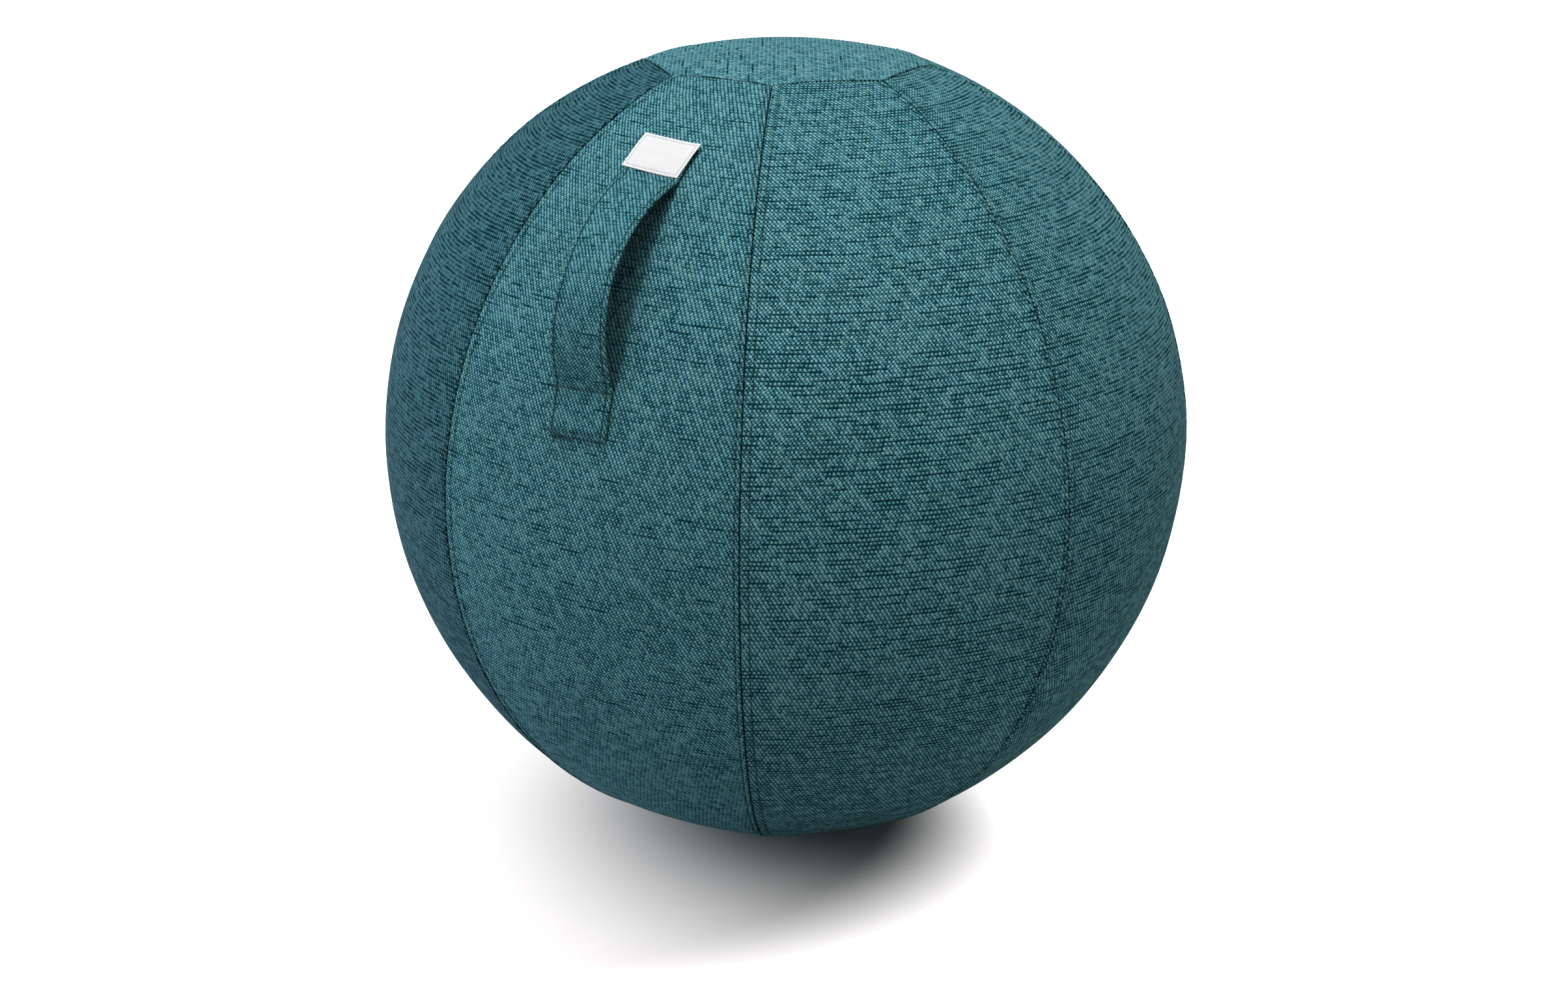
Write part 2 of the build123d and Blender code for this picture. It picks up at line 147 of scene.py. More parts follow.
class MeshMaker:
    """Puts numpy surfaces into Blender meshes that sit at the origin."""

    @staticmethod
    def grid(
        name: str, points: Array, cloth: Array, closed: bool = False, capped: bool = False
    ) -> bpy.types.Object:
        """Object of a surface that is given as a grid of points, rows by columns.

        Each face joins a point to the next one in its row and in its column. Seen from the
        side that the faces point to, rows go down and columns go to the right.

        Args:
            name: name of the piece.
            points: grid of places, rows by columns by three.
            cloth: grid of cloth coordinates in metres, with one more column when closed.
            closed: whether the last column joins the first.
            capped: whether the first and last rows are closed by flat faces.

        Returns:
            The linked object.
        """
        rows, columns = points.shape[:2]
        number = np.arange(rows * columns).reshape(rows, columns)
        if closed:
            number = np.concatenate([number, number[:, :1]], axis=1)
        faces = np.stack(
            [number[:-1, :-1], number[1:, :-1], number[1:, 1:], number[:-1, 1:]], axis=-1
        ).reshape(-1, 4)
        corners = np.stack(
            [cloth[:-1, :-1], cloth[1:, :-1], cloth[1:, 1:], cloth[:-1, 1:]], axis=2
        ).reshape(-1, 2)
        polygons = faces.tolist()
        if capped:
            ends = [number[0, :columns], number[-1, columns - 1 :: -1]]
            polygons += [end.tolist() for end in ends]
            corners = np.concatenate([corners, cloth[0, :columns], cloth[-1, columns - 1 :: -1]])
        return MeshMaker.solid(name, points.reshape(-1, 3), polygons, corners)

    @staticmethod
    def disc(name: str, points: Array, pole: Array, cloth: Array, spot: Array) -> bpy.types.Object:
        """Object of a round surface: rings of points from the rim in, and one point at the pole.

        Args:
            name: name of the piece.
            points: rings by points by three.
            pole: place of the middle point.
            cloth: cloth coordinates of the rings, in metres.
            spot: cloth coordinates of the pole.

        Returns:
            The linked object.
        """
        rings, around = points.shape[:2]
        number = np.arange(rings * around).reshape(rings, around)
        number = np.concatenate([number, number[:, :1]], axis=1)
        laps = np.concatenate([cloth, cloth[:, :1]], axis=1)
        faces = np.stack(
            [number[:-1, :-1], number[:-1, 1:], number[1:, 1:], number[1:, :-1]], axis=-1
        )
        corners = np.stack([laps[:-1, :-1], laps[:-1, 1:], laps[1:, 1:], laps[1:, :-1]], axis=2)
        middle = np.full(around, rings * around)
        fan = np.stack([number[-1, :-1], number[-1, 1:], middle], axis=-1)
        fan_corners = np.stack(
            [laps[-1, :-1], laps[-1, 1:], np.broadcast_to(spot, (around, 2))], axis=1
        )
        vertices = np.concatenate([points.reshape(-1, 3), pole[None]])
        return MeshMaker.solid(
            name,
            vertices,
            faces.reshape(-1, 4).tolist() + fan.tolist(),
            np.concatenate([corners.reshape(-1, 2), fan_corners.reshape(-1, 2)]),
        )

    @staticmethod
    def tubes(
        name: str, lines: Array, side: Array, radius: Array, turns: int = THREAD_FLATS
    ) -> bpy.types.Object:
        """Object of many short threads, each a round tube along its own line.

        A ring lies across the line at each of its points: the radius times the cosine of an
        angle along the side direction, plus its sine along the third direction.

        Args:
            name: name of the piece.
            lines: threads by points by three.
            side: directions square to the lines, threads by points by three.
            radius: radius at each point of a thread, so that its ends can taper.
            turns: number of flats round a thread.

        Returns:
            The linked object.
        """
        threads, stations = lines.shape[:2]
        along = unit(np.gradient(lines, axis=1))
        side = unit(side - along * np.sum(side * along, axis=-1, keepdims=True))
        third = np.cross(along, side)
        angle = np.linspace(0, 2 * math.pi, turns, endpoint=False)
        ring = (
            side[:, :, None] * np.cos(angle)[:, None] + third[:, :, None] * np.sin(angle)[:, None]
        )
        points = lines[:, :, None] + ring * radius[None, :, None, None]
        number = np.arange(threads * stations * turns).reshape(threads, stations, turns)
        number = np.concatenate([number, number[:, :, :1]], axis=2)
        faces = np.stack(
            [number[:, :-1, :-1], number[:, :-1, 1:], number[:, 1:, 1:], number[:, 1:, :-1]],
            axis=-1,
        ).reshape(-1, 4)
        length = np.cumsum(np.linalg.norm(np.diff(lines, axis=1, prepend=lines[:, :1]), axis=-1), 1)
        lap = np.linspace(0, 1, turns + 1)
        cloth = np.stack(np.broadcast_arrays(lap[None, None, :], length[:, :, None]), axis=-1)
        corners = np.stack(
            [cloth[:, :-1, :-1], cloth[:, :-1, 1:], cloth[:, 1:, 1:], cloth[:, 1:, :-1]], axis=3
        ).reshape(-1, 2)
        caps = np.concatenate([number[:, 0, turns - 1 :: -1], number[:, -1, :turns]])
        cap_cloth = np.zeros((caps.size, 2))
        return MeshMaker.solid(
            name,
            points.reshape(-1, 3),
            faces.tolist() + caps.tolist(),
            np.concatenate([corners, cap_cloth]),
        )

    @staticmethod
    def store_crease_shade(piece: bpy.types.Object, crease: Array) -> None:
        """Stores the painted shade of the sewn creases at each point, from 0 to 1.

        Args:
            piece: the piece, whose first points are those of its grid.
            crease: the painted shade at each point of the grid, deepest in a crease.
        """
        depth = np.zeros(len(piece.data.vertices), dtype=np.float32)
        depth[: crease.size] = crease.ravel()
        layer = piece.data.attributes.new("crease", "FLOAT", "POINT")
        layer.data.foreach_set("value", depth)

    @staticmethod
    def thicken(piece: bpy.types.Object, thickness: float) -> None:
        """Gives a sheet its thickness, inwards from its face.

        Args:
            piece: the sheet.
            thickness: how thick it is.
        """
        wall = piece.modifiers.new("thickness", "SOLIDIFY")
        wall.thickness = thickness
        wall.offset = -1.0

    @staticmethod
    def solid(name: str, vertices: Array, polygons: list, corners: Array) -> bpy.types.Object:
        """Object of the given faces, smooth shaded, with its cloth coordinates.

        Args:
            name: name of the piece.
            vertices: places of the points.
            polygons: point numbers of each face.
            corners: cloth coordinates of each face's corners, in the faces' order.

        Returns:
            The linked object.
        """
        mesh = bpy.data.meshes.new(name)
        mesh.from_pydata(vertices.tolist(), [], polygons)
        layer = mesh.uv_layers.new(name="cloth")
        layer.data.foreach_set("uv", corners.astype(np.float32).ravel())
        mesh.polygons.foreach_set("use_smooth", np.ones(len(mesh.polygons), dtype=bool))
        mesh.update()
        piece = bpy.data.objects.new(name, mesh)
        bpy.context.scene.collection.objects.link(piece)
        return piece


class Graph:
    """Short hand for adding and joining shader nodes in one tree."""

    def __init__(self, tree: bpy.types.NodeTree) -> None:
        """Keeps the tree that nodes are added to."""
        self.tree = tree

    def add(self, kind: str, inputs: dict | None = None, **settings) -> bpy.types.Node:
        """New node of a kind, with its settings and inputs.

        Args:
            kind: Blender's name for the node.
            inputs: values or sockets for the node's inputs, by name or number.
            settings: the node's own properties.

        Returns:
            The node.
        """
        node = self.tree.nodes.new(kind)
        for name, value in settings.items():
            setattr(node, name, value)
        self.fill(node, inputs or {})
        return node

    def fill(self, node: bpy.types.Node, inputs: dict) -> None:
        """Joins sockets to a node's inputs, or sets the inputs' own values.

        Args:
            node: the node.
            inputs: values or sockets for its inputs, by name or number.
        """
        for name, value in inputs.items():
            if isinstance(value, bpy.types.NodeSocket):
                self.tree.links.new(value, node.inputs[name])
            else:
                node.inputs[name].default_value = value

    def math(self, operation: str, *values) -> bpy.types.NodeSocket:
        """Result of a Math node.

        Args:
            operation: the node's operation.
            values: numbers or sockets for its inputs.

        Returns:
            The node's output.
        """
        return self.add("ShaderNodeMath", dict(enumerate(values)), operation=operation).outputs[0]

    def step(
        self, value, low: float, high: float, to_low: float = 0.0, to_high: float = 1.0
    ) -> bpy.types.NodeSocket:
        """Smooth step of a value between two bounds.

        Args:
            value: socket to ease.
            low: where the step starts.
            high: where the step ends.
            to_low: result before the step.
            to_high: result after the step.

        Returns:
            The node's output.
        """
        node = self.add(
            "ShaderNodeMapRange",
            {0: value, 1: low, 2: high, 3: to_low, 4: to_high},
            interpolation_type="SMOOTHSTEP",
        )
        return node.outputs[0]

    def noise(self, vector, scale: float, detail: float = 2.0) -> bpy.types.NodeSocket:
        """Two-dimensional noise between 0 and 1 at a vector, in features per metre.

        Args:
            vector: socket of the place.
            scale: features in a metre.
            detail: number of finer layers.

        Returns:
            The node's output.
        """
        node = self.add(
            "ShaderNodeTexNoise",
            {"Vector": vector, "Scale": scale, "Detail": detail},
            noise_dimensions="2D",
        )
        return node.outputs[0]

    def ramp(self, value, stops: list[tuple[float, Colour]]) -> bpy.types.NodeSocket:
        """Colour that a value picks from a row of stops.

        Args:
            value: socket between 0 and 1.
            stops: places and colours, in order.

        Returns:
            The colour output.
        """
        node = self.add("ShaderNodeValToRGB", {0: value})
        elements = node.color_ramp.elements
        while len(elements) < len(stops):
            elements.new(0.5)
        for element, (place, colour) in zip(elements, stops):
            element.position = place
            element.color = colour
        return node.outputs[0]

    def tint(self, colour, value) -> bpy.types.NodeSocket:
        """Colour times a value that changes over the surface."""
        node = self.add(
            "ShaderNodeMix", {0: 1.0, 6: colour, 7: value}, data_type="RGBA", blend_type="MULTIPLY"
        )
        return node.outputs[2]

    def emboss(self, height, strength: float, depth: float) -> bpy.types.NodeSocket:
        """Normal of a surface that a height raises.

        Args:
            height: socket of the height, from 0 to 1.
            strength: share of the effect that is used.
            depth: how far a height of one stands out, in metres.

        Returns:
            The node's output.
        """
        sockets = {"Strength": strength, "Distance": depth, "Height": height}
        return self.add("ShaderNodeBump", sockets).outputs[0]


@dataclass(frozen=True)
class WeaveBuild:
    """Coarse weave's pitches in metres, its scales in features per metre, and its shares."""

    float_pitch: float = 3.1 * MM
    row_pitch: float = 3.17 * MM
    row_step: float = 0.37
    unevenness: float = 0.35
    other_place: tuple[float, float, float] = (0.37, 0.19, 0.0)
    sway_scale: float = 55.0
    fray_scale: float = 620.0
    side_fray: float = 0.3
    level_fray: float = 0.26
    bead_slant: float = 0.14
    float_half: tuple[float, float] = (0.49, 0.41)
    knuckle_half: tuple[float, float] = (0.49, 0.34)
    half_loss: float = 0.06
    width_luck: float = 0.1
    height_luck: float = 0.12
    streak_scale: float = 36.0
    lane_scale: float = 17.37
    patch_scale: float = 9.0
    patch_share: float = 0.2
    slub_reach: float = 0.22
    slub_start: float = 0.5
    slub_full: float = 0.6
    core_half: float = 0.06
    core_edge: float = 0.22
    slub_depth: float = 0.92
    binder_luck: float = 0.34
    float_tone: float = 0.62
    float_luck: float = 0.3
    float_shade: float = 0.1
    bead_fullness: float = 0.75
    float_rise: float = 0.75
    rise_luck: float = 0.25
    knuckle_rise: float = 0.55
    slub_fall: float = 0.35


class NodeGroups:
    """Shader effects that several finishes share, each built once."""

    def __init__(self, weave: WeaveBuild) -> None:
        """Builds the groups for a coarse weave."""
        self.hopsack = self._hopsack(weave)
        self.fine_weave = self._fine_weave()

    @staticmethod
    def _new(name: str, inputs: list, outputs: list) -> tuple[Graph, dict, bpy.types.Node]:
        """Empty group with its sockets.

        Args:
            name: name of the group.
            inputs: name, socket type and first value of each input.
            outputs: names of the outputs, all plain numbers.

        Returns:
            The graph, the inputs' sockets by name, and the output node.
        """
        tree = bpy.data.node_groups.new(name, "ShaderNodeTree")
        for label, kind, value in inputs:
            socket = tree.interface.new_socket(name=label, in_out="INPUT", socket_type=kind)
            if value is not None:
                socket.default_value = value
        for label in outputs:
            tree.interface.new_socket(name=label, in_out="OUTPUT", socket_type="NodeSocketFloat")
        graph = Graph(tree)
        entry = graph.add("NodeGroupInput")
        leave = graph.add("NodeGroupOutput")
        return graph, {socket.name: socket for socket in entry.outputs}, leave

    def _hopsack(self, weave: WeaveBuild) -> bpy.types.NodeTree:
        """Coarse weave: rows of light floats, with rows of smaller, darker knuckles between them.

        A float is a soft bead in its cell: the squares of the ways across and along, over its
        half sizes, add up to a radius that eases from its top to its foot. Each row is moved
        on by a set share of a float. The knuckles of the binding yarn are such beads too, half
        a row and half a float away, and noise picks the stretches in which a dark slub takes
        their place.

        Args:
            weave: sizes and shares of the weave.

        Returns:
            The group.
        """
        graph, given, leave = self._new(
            "hopsack",
            [
                ("Cloth", "NodeSocketVector", None),
                ("Float Pitch", "NodeSocketFloat", weave.float_pitch),
                ("Row Pitch", "NodeSocketFloat", weave.row_pitch),
                ("Row Step", "NodeSocketFloat", weave.row_step),
                ("Binder", "NodeSocketFloat", 0.25),
                ("Slub Share", "NodeSocketFloat", 0.5),
                ("Unevenness", "NodeSocketFloat", weave.unevenness),
            ],
            ["Height", "Tone", "Slub", "Luck"],
        )
        sums = graph.math
        cloth = given["Cloth"]
        parts = graph.add("ShaderNodeSeparateXYZ", {0: cloth}).outputs
        moved = graph.add(
            "ShaderNodeVectorMath", {0: cloth, 1: weave.other_place}, operation="ADD"
        ).outputs[0]

        def centred(value) -> bpy.types.NodeSocket:
            """Value between 0 and 1, less a half."""
            return sums("SUBTRACT", value, 0.5)

        def swayed(vector, way, pitch) -> bpy.types.NodeSocket:
            """Way along the cloth counted in pitches, swaying slowly by noise at a vector."""
            sway = centred(graph.noise(vector, weave.sway_scale))
            return sums("MULTIPLY_ADD", sway, given["Unevenness"], sums("DIVIDE", way, pitch))

        across = swayed(cloth, parts[0], given["Float Pitch"])
        along = swayed(moved, parts[1], given["Row Pitch"])
        ragged = centred(graph.noise(cloth, weave.fray_scale, 1.0))
        frayed = centred(graph.noise(moved, weave.fray_scale, 1.0))

        def beads(down, aside, half: tuple[float, float]) -> tuple:
            """Field of beads, one in each cell.

            Args:
                down: way along the cloth, in rows.
                aside: way across the cloth, in floats.
                half: greatest half width and half height of a bead.

            Returns:
                Row number, bead height, height in the row, and two chance values.
            """
            row = sums("FLOOR", down)
            stepped = sums("MULTIPLY_ADD", row, given["Row Step"], aside)
            column = sums("FLOOR", stepped)
            cell = graph.add("ShaderNodeCombineXYZ", {0: column, 1: row}).outputs[0]
            chance = graph.add(
                "ShaderNodeTexWhiteNoise", {"Vector": cell}, noise_dimensions="2D"
            ).outputs
            luck = chance["Value"]
            other = graph.add("ShaderNodeSeparateXYZ", {0: chance["Color"]}).outputs[1]
            in_column = centred(sums("SUBTRACT", stepped, column))
            in_row = centred(sums("SUBTRACT", down, row))
            sideways = sums("MULTIPLY_ADD", ragged, weave.side_fray, in_column)
            upright = sums("MULTIPLY_ADD", frayed, weave.level_fray, in_row)
            level = sums("MULTIPLY_ADD", sideways, weave.bead_slant, upright)
            least_wide, least_tall = (size - weave.half_loss for size in half)
            wide = sums(
                "DIVIDE", sideways, sums("MULTIPLY_ADD", other, weave.width_luck, least_wide)
            )
            tall = sums("DIVIDE", level, sums("MULTIPLY_ADD", luck, weave.height_luck, least_tall))
            radius = sums("ADD", sums("MULTIPLY", wide, wide), sums("MULTIPLY", tall, tall))
            return row, graph.step(radius, 0.0, 1.0, 1.0, 0.0), level, luck, other

        _, bead, _, luck, other = beads(along, across, weave.float_half)
        lane, knuckle, bind_height, bind_luck, _ = beads(
            centred(along),
            sums("ADD", across, sums("MULTIPLY_ADD", given["Row Step"], 0.5, -0.5)),
            weave.knuckle_half,
        )
        streak_place = graph.add(
            "ShaderNodeCombineXYZ",
            {
                0: sums("MULTIPLY", parts[0], weave.streak_scale),
                1: sums("MULTIPLY", lane, weave.lane_scale),
            },
        ).outputs[0]
        patch = centred(graph.noise(cloth, weave.patch_scale))
        streak = sums("MULTIPLY_ADD", patch, weave.patch_share, graph.noise(streak_place, 1.0, 1.0))
        chosen = sums(
            "ADD",
            streak,
            sums("MULTIPLY_ADD", given["Slub Share"], weave.slub_reach, -weave.slub_reach / 2),
        )
        slub = graph.step(chosen, weave.slub_start, weave.slub_full)
        core = graph.step(
            sums("ABSOLUTE", bind_height), weave.core_half, weave.core_edge, 1.0, 0.0
        )
        bind_level = sums(
            "MULTIPLY",
            sums("MULTIPLY_ADD", bind_luck, weave.binder_luck, given["Binder"]),
            sums("MULTIPLY_ADD", sums("MULTIPLY", slub, core), -weave.slub_depth, 1.0),
        )
        float_level = sums(
            "MULTIPLY",
            sums("MULTIPLY_ADD", luck, weave.float_luck, weave.float_tone),
            sums("MULTIPLY_ADD", slub, -weave.float_shade, 1.0),
        )
        tone = sums(
            "MAXIMUM",
            sums("MULTIPLY", sums("POWER", bead, weave.bead_fullness), float_level),
            sums("MULTIPLY", sums("POWER", knuckle, weave.bead_fullness), bind_level),
        )
        height = sums(
            "MAXIMUM",
            sums("MULTIPLY", bead, sums("MULTIPLY_ADD", luck, weave.rise_luck, weave.float_rise)),
            sums(
                "MULTIPLY",
                knuckle,
                sums("MULTIPLY_ADD", slub, -weave.slub_fall, weave.knuckle_rise),
            ),
        )
        graph.fill(leave, {"Height": height, "Tone": tone, "Slub": slub, "Luck": other})
        return graph.tree

    def _fine_weave(self) -> bpy.types.NodeTree:
        """Close weave of tapes and labels: two crossing waves, with a little luck in each yarn.

        Returns:
            The group.
        """
        graph, given, leave = self._new(
            "fine_weave",
            [
                ("Cloth", "NodeSocketVector", None),
                ("Pitch", "NodeSocketFloat", 0.7 * MM),
                ("Slant", "NodeSocketFloat", 0.0),
            ],
            ["Height", "Tone"],
        )
        sums = graph.math
        parts = graph.add("ShaderNodeSeparateXYZ", {0: given["Cloth"]}).outputs
        across = sums("DIVIDE", parts[0], given["Pitch"])
        along = sums("DIVIDE", parts[1], given["Pitch"])
        slanted = sums("MULTIPLY_ADD", along, given["Slant"], across)
        warp = sums("SINE", sums("MULTIPLY", slanted, 2 * math.pi))
        weft = sums("SINE", sums("MULTIPLY", along, 2 * math.pi))
        woven = sums("MULTIPLY_ADD", sums("MULTIPLY", warp, weft), 0.5, 0.5)
        luck = graph.add(
            "ShaderNodeTexWhiteNoise", {"W": sums("FLOOR", along)}, noise_dimensions="1D"
        ).outputs[0]
        tone = sums("MULTIPLY_ADD", luck, 0.2, sums("MULTIPLY", woven, 0.8))
        graph.fill(leave, {"Height": woven, "Tone": tone})
        return graph.tree


def new_material(name: str) -> tuple[bpy.types.Material, Graph, bpy.types.Node]:
    """Material with nodes, its graph and its surface shader.

    Args:
        name: name of the finish.

    Returns:
        The material, a graph on its tree, and its Principled node.
    """
    material = bpy.data.materials.new(name)
    material.use_nodes = True
    return material, Graph(material.node_tree), material.node_tree.nodes["Principled BSDF"]


@dataclass(frozen=True)
class HopsackFinish:
    """Coarse cover cloth: light weft floats over a dark ground."""

    name: str
    # A piece's tint darkens all of it; on the gores it is painted shade.
    tint: Colour = (1.0, 1.0, 1.0, 1.0)
    binder: float = 0.25
    slub_share: float = 0.4
    ground: Colour = shade(4, 34, 40)
    deep: Colour = shade(26, 64, 69)
    yarn: Colour = shade(66, 104, 109)
    bright: Colour = shade(99, 126, 131)
    relief: float = 0.9 * MM
    relief_strength: float = 0.85
    cloud_scale: float = 9.0
    cloud_range: float = 0.14
    fuzz_scale: float = 2600.0
    fuzz_range: float = 0.3
    fuzz_relief: float = 0.18
    cool_yarn: Colour = (0.93, 1.0, 1.06, 1.0)
    warm_yarn: Colour = (1.07, 1.0, 0.95, 1.0)
    crease_shade: float = 0.65
    roughness: float = 0.84
    slub_roughness: float = 0.08
    specular: float = 0.02

    def tinted(self, colour: Colour) -> Colour:
        """Colour of the cloth times the piece's tint; on the gores the tint is painted shade, by
        how each gore faces the light.
        """
        return tuple(part * share for part, share in zip(colour, self.tint))

    def material(self, groups: NodeGroups) -> bpy.types.Material:
        """Builds the finish.

        Args:
            groups: shared shader effects.

        Returns:
            The material.
        """
        material, graph, shader = new_material(self.name)
        cloth = graph.add("ShaderNodeUVMap", uv_map="cloth").outputs[0]
        weave = graph.add(
            "ShaderNodeGroup",
            {"Cloth": cloth, "Binder": self.binder, "Slub Share": self.slub_share},
            node_tree=groups.hopsack,
        )
        stops = [(0.0, self.ground), (0.22, self.deep), (0.45, self.yarn), (0.95, self.bright)]
        stops = [(place, self.tinted(colour)) for place, colour in stops]
        colour = graph.ramp(weave.outputs["Tone"], stops)
        sums = graph.math
        clouding = graph.noise(cloth, self.cloud_scale, 3.0)
        spread = sums("MULTIPLY_ADD", clouding, self.cloud_range, 1 - self.cloud_range / 2)
        fuzz = graph.noise(cloth, self.fuzz_scale)
        fleck = sums("MULTIPLY_ADD", fuzz, self.fuzz_range, 1 - self.fuzz_range / 2)
        hue = graph.ramp(weave.outputs["Luck"], [(0.0, self.cool_yarn), (1.0, self.warm_yarn)])
        # The crease attribute paints shade: the cloth is darker along its seams, folds and rows of
        # stitches, where shade falls.
        crease = graph.add("ShaderNodeAttribute", attribute_name="crease").outputs["Fac"]
        lit = sums("MULTIPLY_ADD", crease, -self.crease_shade, 1.0)
        mottle_and_crease_shade = sums("MULTIPLY", sums("MULTIPLY", spread, fleck), lit)
        dull = sums("MULTIPLY_ADD", weave.outputs["Slub"], self.slub_roughness, self.roughness)
        fluffed = sums("MULTIPLY_ADD", fuzz, self.fuzz_relief, weave.outputs["Height"])
        graph.fill(
            shader,
            {
                "Base Color": graph.tint(graph.tint(colour, hue), mottle_and_crease_shade),
                "Roughness": dull,
                "Normal": graph.emboss(fluffed, self.relief_strength, self.relief),
                "Specular IOR Level": self.specular,
            },
        )
        return material


@dataclass(frozen=True)
class TapeFinish:
    """Close woven tape or label cloth."""

    name: str
    low: Colour
    high: Colour
    pitch: float
    slant: float = 0.0
    relief: float = 0.15 * MM
    roughness: float = 0.75
    sheen: float = 0.1

    def material(self, groups: NodeGroups) -> bpy.types.Material:
        """Builds the finish.

        Args:
            groups: shared shader effects.

        Returns:
            The material.
        """
        material, graph, shader = new_material(self.name)
        cloth = graph.add("ShaderNodeUVMap", uv_map="cloth").outputs[0]
        weave = graph.add(
            "ShaderNodeGroup",
            {"Cloth": cloth, "Pitch": self.pitch, "Slant": self.slant},
            node_tree=groups.fine_weave,
        )
        colour = graph.ramp(weave.outputs["Tone"], [(0.0, self.low), (1.0, self.high)])
        clouding = graph.math("MULTIPLY_ADD", graph.noise(cloth, 60.0), 0.12, 0.94)
        graph.fill(
            shader,
            {
                "Base Color": graph.tint(colour, clouding),
                "Roughness": self.roughness,
                "Normal": graph.emboss(weave.outputs["Height"], 0.6, self.relief),
                "Sheen Weight": self.sheen,
            },
        )
        return material


@dataclass(frozen=True)
class ThreadFinish:
    """Sewing thread: two plies that twist round each other."""

    name: str
    low: Colour
    high: Colour
    twist: float = 0.7 * MM
    relief: float = 0.1 * MM
    roughness: float = 0.7
    specular: float = 0.2

    def material(self) -> bpy.types.Material:
        """Builds the finish.

        Returns:
            The material.
        """
        material, graph, shader = new_material(self.name)
        cloth = graph.add("ShaderNodeUVMap", uv_map="cloth").outputs[0]
        parts = graph.add("ShaderNodeSeparateXYZ", {0: cloth}).outputs
        turn = graph.math("MULTIPLY_ADD", parts[0], 2.0, graph.math("DIVIDE", parts[1], self.twist))
        ply = graph.math("SINE", graph.math("MULTIPLY", turn, 2 * math.pi))
        tone = graph.math("MULTIPLY_ADD", ply, 0.5, 0.5)
        graph.fill(
            shader,
            {
                "Base Color": graph.ramp(tone, [(0.0, self.low), (1.0, self.high)]),
                "Roughness": self.roughness,
                "Normal": graph.emboss(tone, 0.7, self.relief),
                "Specular IOR Level": self.specular,
            },
        )
        return material


class Surface(Enum):
    """How a solid piece is finished."""

    METAL = "metal"
    NYLON = "nylon"
    RUBBER = "rubber"


@dataclass(frozen=True)
class SolidFinish:
    """Metal, nylon or rubber of the zip and the bladder, with fine scuffs or bloom."""

    name: str
    surface: Surface
    colour: Colour
    worn: Colour
    roughness: float
    grain: float = 900.0
    roughness_range: float = 0.18
    relief: float = 0.08 * MM

    def material(self) -> bpy.types.Material:
        """Builds the finish.

        Returns:
            The material.
        """
        material, graph, shader = new_material(self.name)
        place = graph.add("ShaderNodeTexCoord").outputs["Object"]
        coarse = graph.add(
            "ShaderNodeTexNoise", {"Vector": place, "Scale": self.grain / 8, "Detail": 4.0}
        ).outputs[0]
        fine = graph.add(
            "ShaderNodeTexNoise", {"Vector": place, "Scale": self.grain, "Detail": 3.0}
        ).outputs[0]
        wear = graph.step(coarse, 0.45, 0.75)
        smoothest = self.roughness - self.roughness_range / 2
        graph.fill(
            shader,
            {
                "Base Color": graph.ramp(wear, [(0.0, self.colour), (1.0, self.worn)]),
                "Roughness": graph.math("MULTIPLY_ADD", fine, self.roughness_range, smoothest),
                "Normal": graph.emboss(fine, 0.25, self.relief),
                "Metallic": 1.0 if self.surface is Surface.METAL else 0.0,
            },
        )
        return material


class CoverEnd(Enum):
    """The two ends at which the gores meet a cap."""

    TOP = 1
    BASE = -1


class ZipSide(Enum):
    """Which edge of a gore, if any, has the zip in it."""

    NONE = "none"
    LEFT = "left"
    RIGHT = "right"


